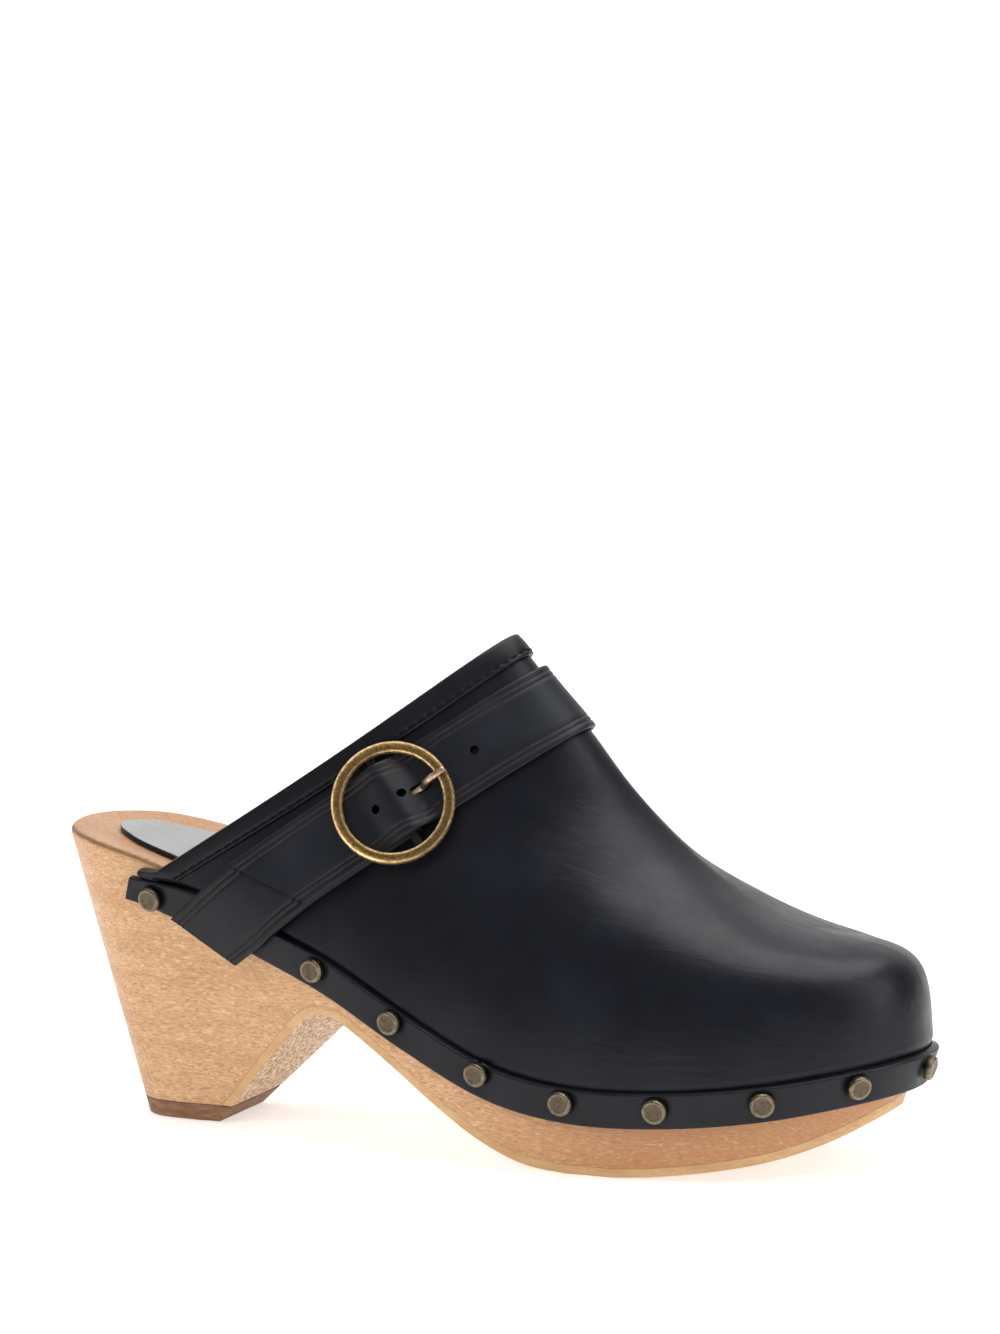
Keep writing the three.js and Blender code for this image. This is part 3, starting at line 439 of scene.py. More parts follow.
# ------------------------------------------------------------------ materials
class Look:
    """A procedural material: nodes are added by kind, with inputs given as sockets or values. An
    input named i0, i1 and so on is taken by its place."""

    def __init__(self, name):
        self.material = bpy.data.materials.new(name)
        self.material.use_nodes = True
        self.tree = self.material.node_tree
        self.surface = self.tree.nodes["Principled BSDF"]

    def add(self, kind, settings=None, **inputs):
        node = self.tree.nodes.new("ShaderNode" + kind)
        for key, value in (settings or {}).items():
            setattr(node, key, value)
        for key, value in inputs.items():
            self.put(node, key.replace("_", " "), value)
        return node

    def put(self, node, key, value):
        socket = node.inputs[int(key[1:])] if key[0] == "i" and key[1:].isdigit() else node.inputs[key]
        if isinstance(value, bpy.types.NodeSocket):
            self.tree.links.new(value, socket)
        else:
            socket.default_value = value

    def place(self, scale=(1, 1, 1), turn=(0, 0, 0)):
        """Coordinates in millimetres on the shoe, stretched by scale."""
        at = self.add("TexCoord").outputs["Object"]
        return self.add("Mapping", Vector=at, Rotation=turn, Scale=[1000 * s for s in scale]).outputs[0]

    def object_axis(self, axis):
        at = self.add("TexCoord").outputs["Object"]
        return self.add("SeparateXYZ", Vector=at).outputs[axis]

    def span(self):
        """The two numbers that each mesh point carries in its span layer."""
        uv = self.add("UVMap", {"uv_map": "span"}).outputs[0]
        return self.add("SeparateXYZ", Vector=uv).outputs[:2]

    def noise(self, vector, scale, detail=4.0, rough=0.55, distortion=0.0):
        return self.add("TexNoise", Vector=vector, Scale=scale, Detail=detail, Roughness=rough,
                        Distortion=distortion).outputs["Fac"]

    def warp(self, vector, amount, scale=0.4):
        cells = self.add("TexNoise", Vector=vector, Scale=scale, Detail=2.0).outputs["Color"]
        push = self.add("VectorMath", {"operation": "SCALE"}, i0=cells)
        push.inputs["Scale"].default_value = amount
        return self.add("VectorMath", {"operation": "ADD"}, i0=vector, i1=push.outputs[0]).outputs[0]

    def ramp(self, fac, *stops):
        node = self.add("ValToRGB", Fac=fac)
        elements = node.color_ramp.elements
        while len(elements) < len(stops):
            elements.new(0.5)
        for element, (at, colour) in zip(elements, stops):
            element.position = at
            element.color = (*colour, 1) if isinstance(colour, tuple) else (colour, colour, colour, 1)
        return node.outputs["Color"]

    def level(self, fac, low, high, to_low=0.0, to_high=1.0):
        return self.add("MapRange", i0=fac, i1=low, i2=high, i3=to_low, i4=to_high).outputs[0]

    def blend(self, fac, a, b):
        node = self.add("MixRGB", Fac=fac)
        for key, value in (("Color1", a), ("Color2", b)):
            self.put(node, key, (*value, 1) if isinstance(value, tuple) else value)
        return node.outputs[0]

    def math(self, operation, a, b=0.0, c=0.0):
        return self.add("Math", {"operation": operation}, i0=a, i1=b, i2=c).outputs[0]

    def bump(self, height, strength, distance_mm, under=None):
        node = self.add("Bump", Height=height, Strength=strength, Distance=distance_mm * 0.001)
        if under is not None:
            self.put(node, "Normal", under)
        return node.outputs[0]

    def finish(self, **inputs):
        for key, value in inputs.items():
            self.put(self.surface, key.replace("_", " "), value)
        return self.material


BROWN_LINE = (0.060, 0.031, 0.018)          # pressed lines of the strap
# lighter grey towards the strap's long edges
LIGHTER_EDGE = (0.045, 0.043, 0.045)
# near black of the strap's cut ends: partly the edge's dye, partly painted shadow under the tail end
CUT_END_DYE_AND_SHADE = (0.0006, 0.0006, 0.0008)


def leather(name, tint, rough, grain=1.0, creased=0.0, lined=False, edged=False, cloudy=1.0):
    """Smooth dyed leather: fine pores, a cloudy polish and soft creases. A lined one has the strap's
    brown pressed lines, a lighter grey towards its long edges and near-black cut ends, partly the
    edge's dye and partly painted shadow; an edged one a dark rim; both read the span layer."""
    look = Look(name)
    at = look.place()
    cloud = look.noise(at, 0.045, 3, 0.5)
    pores = look.add("TexVoronoi", {"feature": "DISTANCE_TO_EDGE"}, Vector=look.warp(at, 0.6),
                     Scale=1.25).outputs["Distance"]
    fibre = look.noise(look.place((0.5, 1.3, 1.3), (0.2, 0.5, 0.3)), 0.9, 6, 0.7)
    folds = look.noise(look.place((0.16, 0.9, 1.0), (0.0, 0.45, 0.5)), 0.22, 3, 0.6, 0.8)
    dark = tuple((1 - 0.38 * cloudy) * c for c in tint)
    light = tuple((1 + 0.5 * cloudy) * c + 0.002 * cloudy for c in tint)
    colour = look.ramp(cloud, (0.3, dark), (0.52, tint), (0.75, light))
    speck = look.level(look.noise(at, 0.5, 2, 0.5), 0.79, 0.82)
    colour = look.blend(look.math("MULTIPLY", speck, 0.35), colour, (0.12, 0.11, 0.1))
    polish = look.level(look.noise(at, 0.11, 5, 0.6), 0.3, 0.7, rough - 0.05, rough + 0.07)
    if lined:
        along, across = look.span()
        edge = look.math("SUBTRACT", STRAP_WIDTH / 2, look.math("ABSOLUTE", across))
        lines = None
        for distance in CREASES:
            off = look.math("ABSOLUTE", look.math("SUBTRACT", edge, distance))
            line = look.level(off, 0.06, 0.20, 1.0, 0.0)
            lines = line if lines is None else look.math("MAXIMUM", lines, line)
        worn = look.level(look.noise(at, 0.13, 3, 0.6), 0.35, 0.6)
        brown = look.math("MULTIPLY", lines, look.level(worn, 0, 1, 0.2, 0.9))
        colour = look.blend(brown, colour, BROWN_LINE)
        # lighter grey towards the strap's long edges, within half a millimetre of them
        edge_lightening = look.level(edge, 0.0, 0.45, 0.22, 0.0)
        colour = look.blend(edge_lightening, colour, LIGHTER_EDGE)
        # painted shadow: the cut end is turned near black, partly its dye and partly the shadow line under
        # the slanted tail
        colour = look.blend(look.level(along, 0.55, 0.30), colour, CUT_END_DYE_AND_SHADE)
    if edged:
        rim = look.span()[1]
        colour = look.blend(look.level(rim, 0.86, 0.80), colour, (0.006, 0.006, 0.007))
    fine = look.bump(pores, 0.10 * grain, 0.05)
    fine = look.bump(fibre, 0.16 * grain, 0.07, fine)
    if creased:
        zone = look.level(look.object_axis("X"), -0.01, 0.045, 0.15, 1.0)
        fine = look.bump(look.math("MULTIPLY", folds, zone), creased, 0.35, fine)
    return look.finish(Base_Color=colour, Roughness=polish, Normal=fine, Specular_IOR_Level=0.27)


def wood_look():
    """Close-grained wood, redder at the toe: long wavy figure along the sole, fine pores and short
    wavy flecks. The span layer gives the distance in from the side wall, for the line round the
    footbed's rim."""
    look = Look("wood_clear")
    long_at = look.place((0.10, 0.55, 1.0), (0, 0.06, 0))
    warped = look.warp(long_at, 1.1)
    figure = look.noise(warped, 0.16, 5, 0.6, 0.6)
    rings = look.add("TexWave", {"wave_type": "BANDS", "bands_direction": "Z", "wave_profile": "SAW"},
                     Vector=warped, Scale=0.085, Distortion=5.0, Detail=3.0, Detail_Scale=0.6).outputs["Fac"]
    fine = look.noise(look.place((0.16, 1.0, 1.9), (0, 0.05, 0)), 1.15, 5, 0.68)
    flecks = look.noise(look.place((0.30, 1.5, 2.6), (0, 0.1, 0)), 0.75, 3, 0.6)
    wavy = look.warp(look.place((0.42, 1.0, 1.7), (0, 0.12, 0)), 1.6, 0.22)
    dashes = look.noise(wavy, 1.5, 3, 0.6)
    pale_dashes = look.noise(wavy, 1.1, 3, 0.6)
    colour = look.ramp(figure, (0.28, (0.50, 0.265, 0.118)), (0.5, (0.63, 0.365, 0.180)),
                       (0.74, (0.73, 0.465, 0.255)))
    toe = look.level(look.object_axis("X"), -0.005, 0.05, 0.0, 0.90)
    colour = look.blend(toe, colour, (0.44, 0.185, 0.068))
    colour = look.blend(look.level(rings, 0.15, 0.95, 0.0, 0.18), colour, (0.52, 0.27, 0.125))
    colour = look.blend(look.level(fine, 0.36, 0.66, 0.42, 0.0), colour, (0.43, 0.222, 0.105))
    colour = look.blend(look.level(flecks, 0.60, 0.70, 0.0, 0.35), colour, (0.36, 0.175, 0.075))
    colour = look.blend(look.level(dashes, 0.50, 0.62, 0.0, 0.72), colour, (0.36, 0.165, 0.066))
    pale = look.math("MULTIPLY", look.level(pale_dashes, 0.47, 0.30, 0.0, 0.5),
                     look.level(toe, 0.0, 0.9, 1.0, 0.45))
    colour = look.blend(pale, colour, (0.88, 0.62, 0.38))
    inset = look.span()[1]
    # painted shade: the top of the rounded rim and the dished footbed are darkened by half against the top
    # light
    colour = look.blend(look.level(inset, 0.9, 1.5, 0.0, 0.5), colour, (0.38, 0.19, 0.10))
    line = look.math("MULTIPLY", look.level(inset, 0.1, 0.4), look.level(inset, 1.5, 0.9))
    colour = look.blend(look.math("MULTIPLY", line, 0.8), colour, (0.13, 0.055, 0.025))
    relief = look.bump(fine, 0.25, 0.06)
    relief = look.bump(dashes, 0.14, 0.08, relief)
    polish = look.level(figure, 0.3, 0.7, 0.56, 0.46)
    return look.finish(Base_Color=colour, Roughness=polish, Normal=relief, Specular_IOR_Level=0.42,
                       Coat_Weight=0.12, Coat_Roughness=0.4)


def rubber_look():
    """Honey gum rubber: smooth moulded edge, pebbled cream and brown wear face below."""
    look = Look("gum_rubber")
    at = look.place()
    facing = look.add("SeparateXYZ", Vector=look.add("NewGeometry").outputs["Normal"])
    under = look.level(facing.outputs["Z"], -0.30, -0.42)
    level = look.level(facing.outputs["Y"], -0.5, 0.5)
    pebble = look.add("TexVoronoi", Vector=look.warp(look.place((1.0, 0.8, 1.0)), 1.2), Scale=1.0)
    mottle = look.noise(look.place((1.0, 0.7, 1.0)), 0.95, 4, 0.65)
    wear = look.ramp(mottle, (0.36, (0.25, 0.13, 0.065)), (0.47, (0.50, 0.31, 0.18)),
                     (0.56, (0.74, 0.58, 0.42)), (0.7, (0.86, 0.75, 0.62)))
    edge = look.ramp(look.noise(look.place((0.15, 0.6, 1.2)), 0.3, 4, 0.6), (0.3, (0.52, 0.295, 0.135)),
                     (0.7, (0.66, 0.42, 0.21)))
    colour = look.blend(under, edge, wear)
    relief = look.bump(pebble.outputs["Distance"], 0.5, 0.5)
    relief = look.bump(look.noise(at, 1.6, 3, 0.6), 0.2, 0.08, relief)
    mixed = look.level(level, 0, 1, 0.62, 0.66)
    return look.finish(Base_Color=colour, Roughness=mixed, Normal=relief, Specular_IOR_Level=0.35)


def tip_look():
    look = Look("tip_rubber")
    at = look.place()
    colour = look.ramp(look.noise(look.place((0.3, 0.8, 1.6)), 0.5, 5, 0.65), (0.3, (0.145, 0.062, 0.03)),
                       (0.55, (0.25, 0.125, 0.066)), (0.78, (0.36, 0.20, 0.115)))
    relief = look.bump(look.noise(at, 2.2, 4, 0.7), 0.35, 0.12)
    return look.finish(Base_Color=colour, Roughness=look.level(look.noise(at, 0.3), 0.3, 0.7, 0.55, 0.75),
                       Normal=relief, Specular_IOR_Level=0.4)


def brass_look(name, base, dark, worn, hollow):
    """Antiqued brass: dark in the pits and hollows, rubbed bright on rims, fine casting grain. The
    span gives how far a point is a rim; below 0 it is painted near black as shade, for the bar and
    lugs in the shadow of the ring and strap."""
    look = Look(name)
    at = look.place()
    span = look.span()[1]
    rim = look.level(span, 0.0, 1.0)
    painted_shade = look.level(span, -0.1, -0.5)
    blotch = look.noise(at, 1.3, 6, 0.75)
    patina = look.level(blotch, 0.42, 0.62, 0.0, 0.92)
    colour = look.blend(patina, base, dark)
    colour = look.blend(look.math("MULTIPLY", look.math("SUBTRACT", 1.0, rim), hollow * 0.55), colour, dark)
    rubbed = look.level(look.noise(at, 0.7, 5, 0.7), 0.60, 0.44, 0.35, 1.0)
    colour = look.blend(look.math("MULTIPLY", rim, rubbed), colour, worn)
    # painted shade: the bar and lugs are turned near black for the shadow they sit in
    colour = look.blend(painted_shade, colour, (0.002, 0.0018, 0.0015))
    grit = look.noise(at, 2.6, 5, 0.7)
    relief = look.bump(grit, 0.4, 0.12)
    relief = look.bump(look.noise(at, 0.55, 4, 0.65), 0.45, 0.25, relief)
    polish = look.math("ADD", look.level(blotch, 0.35, 0.7, 0.26, 0.52), look.level(rim, 0, 1, 0.08, -0.04))
    polish = look.math("ADD", polish, look.math("MULTIPLY", painted_shade, 0.3))
    metal = look.math("SUBTRACT", look.level(patina, 0, 1, 1.0, 0.72), painted_shade)
    return look.finish(Base_Color=colour, Metallic=metal, Roughness=polish, Normal=relief)


def cloth_look(name, light, dark, rough):
    """Napped split leather or impregnated cloth, matt and slightly mottled."""
    look = Look(name)
    at = look.place()
    nap = look.noise(at, 1.3, 6, 0.75)
    colour = look.ramp(look.noise(at, 0.09, 4, 0.6), (0.3, dark), (0.7, light))
    colour = look.blend(look.level(nap, 0.4, 0.65, 0.0, 0.3), colour, tuple(1.8 * c for c in light))
    return look.finish(Base_Color=colour, Roughness=rough, Normal=look.bump(nap, 0.4, 0.15),
                       Sheen_Weight=0.15, Sheen_Roughness=0.6)


def thread_look():
    look = Look("black_thread")
    twist = look.add("TexWave", {"bands_direction": "DIAGONAL"}, Vector=look.place(), Scale=1.6,
                     Distortion=0.6).outputs["Fac"]
    colour = look.ramp(twist, (0.2, (0.003, 0.003, 0.004)), (0.8, (0.010, 0.010, 0.012)))
    return look.finish(Base_Color=colour, Roughness=0.7, Normal=look.bump(twist, 0.5, 0.08),
                       Specular_IOR_Level=0.10)


wood = wood_look()
gum = rubber_look()
tip_rubber = tip_look()
vamp_leather = leather("vamp_leather", (0.0026, 0.0032, 0.0068), 0.36, 0.8, 0.34)
binding_leather = leather("binding_leather", (0.0034, 0.0038, 0.0062), 0.37, 1.0)
rand_leather = leather("rand_leather", (0.0030, 0.0034, 0.0060), 0.40, 1.0)
strap_leather = leather("strap_leather", (0.0058, 0.0070, 0.0112), 0.42, 0.9, lined=True)
# painted sheen: the heel pad is black leather, and its light grey tint stands in for the lights' reflection
# on its top; the dark rim is its own black
sock_leather = leather("sock_leather", (0.30, 0.30, 0.297), 0.32, 1.2, edged=True, cloudy=0.2)
lining_leather = cloth_look("lining_leather", (0.030, 0.026, 0.024), (0.016, 0.014, 0.013), 0.75)
puff_cloth = cloth_look("puff_cloth", (0.36, 0.30, 0.22), (0.24, 0.19, 0.14), 0.85)
thread = thread_look()
ring_brass = brass_look("ring_brass", (0.50, 0.30, 0.095), (0.050, 0.028, 0.014), (0.95, 0.70, 0.34), 0.9)
nail_brass = brass_look("nail_brass", (0.105, 0.078, 0.052), (0.040, 0.030, 0.022), (0.21, 0.165, 0.11), 0.2)
prong_brass = brass_look("prong_brass", (0.30, 0.17, 0.10), (0.10, 0.055, 0.035), (0.62, 0.43, 0.30), 0.2)


# ------------------------------------------------------------------ wooden sole, outsole, heel tip
def rounded_rim():
    """Rings of the wood from the side wall over the rounded edge into the dished footbed."""
    rings = [(-1, 0.0), (30, 0.0), (12, 0.0), (5, 0.0), (RIM + 0.2, 0.0)]
    for a in np.linspace(0, math.pi / 2, 7)[1:]:
        rings.append((RIM - RIM * math.sin(a), RIM - RIM * math.cos(a)))
    return rings + [(0.45, 4.2), (1.05, 6.6), (DISH_DEPTH, DISH_INSET)]


def wood_block():
    turn = np.linspace(0, LOOP, 336, endpoint=False)
    top, down, outward = wall_frame(turn)
    inward = unit(np.stack([-outward[:, 0], -outward[:, 1], 0 * turn], -1))
    rows = []
    for drop, inset in rounded_rim():
        if drop < 0:
            rows.append(top + down * ((top[:, 2] + 8) / -down[:, 2])[:, None])
        elif inset <= RIM:
            rows.append(top + down * drop + inward * inset)
        else:
            rows.append(top + inward * inset - np.array([0, 0, drop]))
    inset = np.repeat([inset for _, inset in rounded_rim()], len(turn))
    faces = tube_faces(len(rows), len(turn), True)
    return np.concatenate(rows), faces, np.stack([0 * inset, inset], -1)


def underside_line():
    t = stations(0, len(UNDERSIDE) - 1, 0.125)
    line = spline(UNDERSIDE, t)
    line[:, 1] = np.maximum(0, line[:, 1])
    return np.vstack([[BREAST_FOOT, 0], line])


breast_angle = math.atan2(UNDERSIDE[0, 1], UNDERSIDE[0, 0] - BREAST_FOOT)
tip_slope = HEEL_TIP / math.tan(breast_angle)


def raised_line(raise_by, start_z):
    """Side-view line of the underside raised squarely by a distance, started at a height on the breast."""
    line = underside_line()
    tangent = unit(np.gradient(line, axis=0))
    lifted = line + raise_by * np.stack([-tangent[:, 1], tangent[:, 0]], -1)
    lifted[0] = [lifted[1, 0] - (lifted[1, 1] - start_z) / math.tan(breast_angle), start_z]
    return lifted


def prism(section):
    """A side-view outline, x and z, drawn out across the shoe."""
    section = np.asarray(section, float)
    n = len(section)
    points = [[x, y, z] for y in (-BEYOND, BEYOND) for x, z in section]
    faces = [(i, (i + 1) % n, n + (i + 1) % n, n + i) for i in range(n)]
    return np.array(points), faces + [tuple(range(n))[::-1], tuple(range(n, 2 * n))]


block_points, block_faces, block_span = wood_block()


def from_block(name, section, material, slot, edge):
    piece = build(name, block_points, block_faces, material, slot, replaces=[name.replace("_fine", "")],
                  span=block_span)
    carve(piece, *prism(section), operation="INTERSECT")
    round_edges(piece, edge)
    return piece


floor_line = raised_line(OUTSOLE + GAP * 0.2, HEEL_TIP + GAP * 0.5)
behind, above, ahead_of_toe = -20, 95, 245
from_block("wooden_sole_fine",
           [*floor_line, [ahead_of_toe, above], [behind, above], [behind, HEEL_TIP + GAP * 0.5]],
           wood, "wood", 0.2)
from_block("outsole_fine", [*raised_line(0, HEEL_TIP + GAP), *raised_line(OUTSOLE, HEEL_TIP + GAP)[::-1]],
           gum, "gum_rubber", 0.16)
from_block("heel_tip_fine",
           [[behind, 0], [BREAST_FOOT, 0], [BREAST_FOOT + tip_slope, HEEL_TIP], [behind, HEEL_TIP]],
           tip_rubber, "tip_rubber", 0.35)


# ------------------------------------------------------------------ heel sock pad
def dish_point(w):
    top, _, outward = wall_frame(w)
    flat = unit(np.stack([outward[..., 0], outward[..., 1], 0 * outward[..., 0]], -1))
    return top - flat * DISH_INSET - np.array([0, 0, DISH_DEPTH])


def footbed(x, b):
    """Point of the dished footbed x from the heel's back and b across from its middle."""
    w, _ = halved(np.shape(x), 0.4, 9.0, 30,
                  lambda m: (dish_point(m) + dish_point(LOOP - m))[..., 0] / 2 < x)
    middle = (dish_point(w) + dish_point(LOOP - w)) / 2
    return middle + unit(dish_point(LOOP - w) - dish_point(w)) * np.asarray(b)[..., None]


def heel_sock():
    t = 0.5 - 0.5 * np.cos(np.linspace(0, math.pi, 60))
    half = SOCK_HALF * np.sqrt(np.maximum(0.004, 1 - np.abs(2 * t - 1) ** 2.3))
    side = [(1, 0.55), (0.992, 0.78), (0.975, 0.93), (0.94, 1.0)]
    section = [(-1, 0.05), (1, 0.05), *side, *((b, 1.0) for b in np.linspace(0.85, -0.85, 9))]
    section += [(-b, k) for b, k in side[::-1]]
    rows = []
    for b, k in section:
        p = footbed(mix(SOCK_REAR, SOCK_FRONT, t), b * half)
        p[:, 2] += 0.35 + k * SOCK_THICK - 0.02
        rows.append(p)
    points = np.stack(rows, 1)
    span = np.tile([[b, abs(k) if abs(b) < 0.96 else 0.5] for b, k in section], (len(t), 1))
    return build("heel_sock_pad", points, tube_faces(len(t), len(section)), sock_leather,
                 "sock_leather", replaces=["heel_sock"], span=span)


heel_sock()


# ------------------------------------------------------------------ upper, lining, toe puff
def upper_grid(out, swell=0.0):
    """Grid over the whole upper and the skirt that is nailed below the footbed edge; swell gives it
    the gentle hollows and fulls of stretched leather."""
    s = stations(TOPLINE, LAST_RIB, 0.09)
    tau = spline(RIBS, s)[:, 0]
    depth = (rand_drop(tau) + RAND_HEIGHT * rand_share(tau - 0.4) - SKIRT_SHORT) / SKIRT
    level = np.linspace(-1, 1, 150)
    core = 0.35 * np.sin(level * math.pi / 2) + 0.65 * level
    skirt = np.linspace(1, 0, 9)[:-1]
    q = np.concatenate([-1 - depth[:, None] * skirt, np.tile(core, (len(s), 1)),
                        1 + depth[:, None] * skirt[::-1]], 1)
    s = np.broadcast_to(s[:, None], q.shape)
    base = upper(s, q)
    lift = out + swell * waves(base, 34.0, 5) * smooth(1 - np.abs(q))
    return base + upper_normal(s, q) * lift[..., None]


build("vamp_upper_leather", *shell(upper_grid(0, VAMP_SWELL), upper_grid(-VAMP)), vamp_leather,
      "black_leather", replaces=["vamp_upper"], angle=50)


def lining_out(s):
    """Outer face of the lining, which dips under the toe puff."""
    return -(VAMP + GAP) - (PUFF + GAP) * smooth((s - 5.5) / 0.9)


def puff_out(s):
    return 0 * s - VAMP - GAP


def inner_shell(s_from, out_of, thick):
    """Skin under the upper, ending just above the footbed; out_of gives its outer face at a rib."""
    s, q = np.meshgrid(stations(s_from, LAST_RIB, 0.12), np.linspace(-0.965, 0.965, 90), indexing="ij")
    return shell(off_upper(s, q, out_of(s)), off_upper(s, q, out_of(s) - thick))


build("vamp_lining_leather", *inner_shell(TOPLINE, lining_out, LINING), lining_leather, "lining_leather",
      replaces=["vamp_lining"], angle=50)
build("toe_puff_stiffener", *inner_shell(PUFF_START, puff_out, PUFF), puff_cloth, "stiffener",
      replaces=["toe_puff"], angle=50)


# ------------------------------------------------------------------ rand
def nail_seats():
    seats = [("nail_toe", *TOE_NAIL)]
    for i, (tau, lift) in enumerate(SIDE_NAILS):
        seats += [(f"nail_outer_{i + 1}", tau, lift), (f"nail_inner_{i + 1}", LOOP - tau, lift)]
    return [(name, wall(np.array(w), rand_drop(w) + RAND_HEIGHT / 2 - lift, np.array(RAND_OUT + GAP)),
             wall_frame(w)[2]) for name, w, lift in seats]


SEATS = nail_seats()


def rand_strip():
    t = 0.55                     # rounding of the strip's edges
    face = RAND_OUT - t
    section = [(0, RAND_OUT - RAND_THICK), (0, face)]
    section += [(t - t * math.cos(a), face + t * math.sin(a)) for a in np.linspace(0.25, math.pi / 2, 5)]
    section += [(d, RAND_OUT) for d in np.linspace(1.2, RAND_HEIGHT - 1.2, 12)]
    section += [(RAND_HEIGHT - t + t * math.sin(a), face + t * math.cos(a)) for a in np.linspace(0, 1.3, 5)]
    section += [(RAND_HEIGHT, face), (RAND_HEIGHT, RAND_OUT - RAND_THICK)]
    d, out = np.array(section).T
    w = stations(REAR, LOOP - REAR, 0.045)[:, None]
    points = wall(rand_station(w, d), rand_drop(w) + d * rand_share(w), out + 0 * w)
    _, _, outward = wall_frame(w + 0 * d)
    front = smooth((out - (RAND_OUT - 0.6)) / 0.5)
    dent = 0.10 * waves(points, 15.0, 9)
    for _, seat, _ in SEATS:
        far = np.linalg.norm(points - seat, axis=-1)
        dent = dent - 0.55 * np.exp(-((far / 4.2) ** 4))
    points = points + outward * (dent * front)[..., None]
    return build("rand_strip_leather", points, tube_faces(len(w), len(section)), rand_leather,
                 "rand_leather", replaces=["rand_strip"], angle=60)


rand_strip()


# ------------------------------------------------------------------ nails and heel stud
def nail_profile(radius, proud, length):
    """Pointed shank and a flat head with a rounded rim: (radius, height off the rand)."""
    shank = [(0, -length), (NAIL_SHANK * 0.5, -length + 0.8), (NAIL_SHANK, -length + 2.2), (NAIL_SHANK, 0)]
    side = [(radius - 0.1, 0), (radius, 0.12), (radius, proud - 0.55)]
    dome = [(radius - 0.55 + 0.5 * math.sin(a), proud - 0.5 + 0.5 * math.cos(a))
            for a in (1.57, 1.2, 0.8, 0.4, 0.1)]
    face = [(radius - 0.75, proud), (radius * 0.68, proud - 0.10), (radius * 0.35, proud - 0.12),
            (0, proud - 0.10)]
    return shank + side + dome + face


def add_nail(node, seat, axis, radius, proud, length):
    """A nail driven a little out of true, its head dented by the hammer."""
    lean = unit(axis + 0.035 * dice.normal(size=3))
    profile = nail_profile(radius, proud, length)
    points, faces = lathe(profile, seat, lean, 28)
    rim = [1.0 if radius * 0.7 < r <= radius and h > proud * 0.4 else 0.25 for r, h in profile]
    dents = waves(points, 2.6, int(dice.integers(1e6))) * smooth((points - seat) @ lean / proud)
    return build(f"{node}_head", points + 0.05 * lean * dents[:, None], faces, nail_brass, "antique_brass",
                 replaces=[node], angle=40, span=rim_span(np.tile(rim, 28)))


dice = np.random.default_rng(11)
for node, seat, axis in SEATS:
    add_nail(node, seat - axis * 0.25, axis, NAIL_HEAD, NAIL_PROUD, NAIL_LENGTH)
add_nail("heel_stud", wall(np.array(0.0), STUD_DROP, np.array(GAP)), wall_frame(0.0)[2], *STUD)


# ------------------------------------------------------------------ topline binding and its stitching
bind_inner = -(VAMP + GAP + LINING + GAP)
BIND_REACH = 0.6                 # rib that the band's own width is measured against
BIND_END = 1.36                  # how far down the band runs beside the rand
STITCH_END = 1.3
STITCH_LINE = 0.8                # share of the band's width where it is sewn


def binding_point(a, out, q):
    """a is the distance in from the cut edge in band widths; below 0 it is beyond the edge."""
    a, out, q = arrays(a, out, q)
    width = a * BINDING_WIDTH
    edge = upper(TOPLINE + 0 * q, q)
    ahead = unit(edge - upper(TOPLINE + 0.1 + 0 * q, q))
    across = np.linalg.norm(edge - upper(BIND_REACH + 0 * q, q), axis=-1)
    s = mix(TOPLINE, BIND_REACH, np.maximum(width, 0) / across)
    return off_upper(s, q, out) - ahead * np.minimum(width, 0)[..., None]


def binding_section():
    top_out, top_in = GAP + BINDING_THICK, bind_inner - BINDING_THICK
    middle, radius = (top_out + top_in) / 2, (top_out - top_in) / 2
    face = [(1.0, -0.45), (0.985, -0.18), (0.95, -0.03), (0.90, 0), (0.85, -0.02), (0.815, -0.16),
            (0.80, -0.20), (0.785, -0.16), (0.75, 0), (0.62, 0.06), (0.45, 0.08), (0.25, 0.06), (0.1, 0)]
    outer = [(1.0, 0.05), *((a, top_out + h) for a, h in face)]
    fold = [(-0.16 * math.cos(a), middle + radius * math.sin(a)) for a in np.linspace(1.45, -1.45, 11)]
    inner = [(0.1, top_in), (0.45, top_in), (0.8, top_in), (0.97, top_in), (1.0, top_in + 0.25),
             (1.0, bind_inner), (0.3, bind_inner), (0.02, bind_inner), (0.02, GAP), (0.3, GAP)]
    return np.array(outer + fold + inner)


def topline_binding():
    section = binding_section()
    q = np.concatenate([stations(-BIND_END, -1.0, 0.02), stations(-0.994, 0.994, 0.006),
                        stations(1.0, BIND_END, 0.02)])[:, None]
    inside = mix(-9.0, -1.2, smooth((np.abs(q) - 0.9) / 0.1))
    points = binding_point(section[:, 0], np.maximum(section[:, 1], inside), q)
    pucker = 0.05 * np.sin(2 * math.pi * arc_along(q[:, 0]) / STITCH_PITCH)[:, None]
    near = np.exp(-(((section[:, 0] - STITCH_LINE) / 0.12) ** 2)) * (section[:, 1] > 0)
    points = points + upper_normal(TOPLINE + 0.3 + 0 * q, q) * (pucker * near)[..., None]
    return build("topline_binding_band", points, tube_faces(len(q), len(section)), binding_leather,
                 "binding_leather", replaces=["topline_binding"], angle=60)


def arc_along(q):
    fine = np.linspace(-BIND_END, BIND_END, 900)
    return np.interp(q, fine, arc_length(binding_point(STITCH_LINE, GAP + BINDING_THICK, fine)))


# One stitch, end to end: share of its length, share of the thread's full radius.
STITCH_SHAPE = ((0, 0.25), (0.07, 0.75), (0.2, 1), (0.5, 1.08), (0.8, 1), (0.93, 0.75), (1, 0.25))


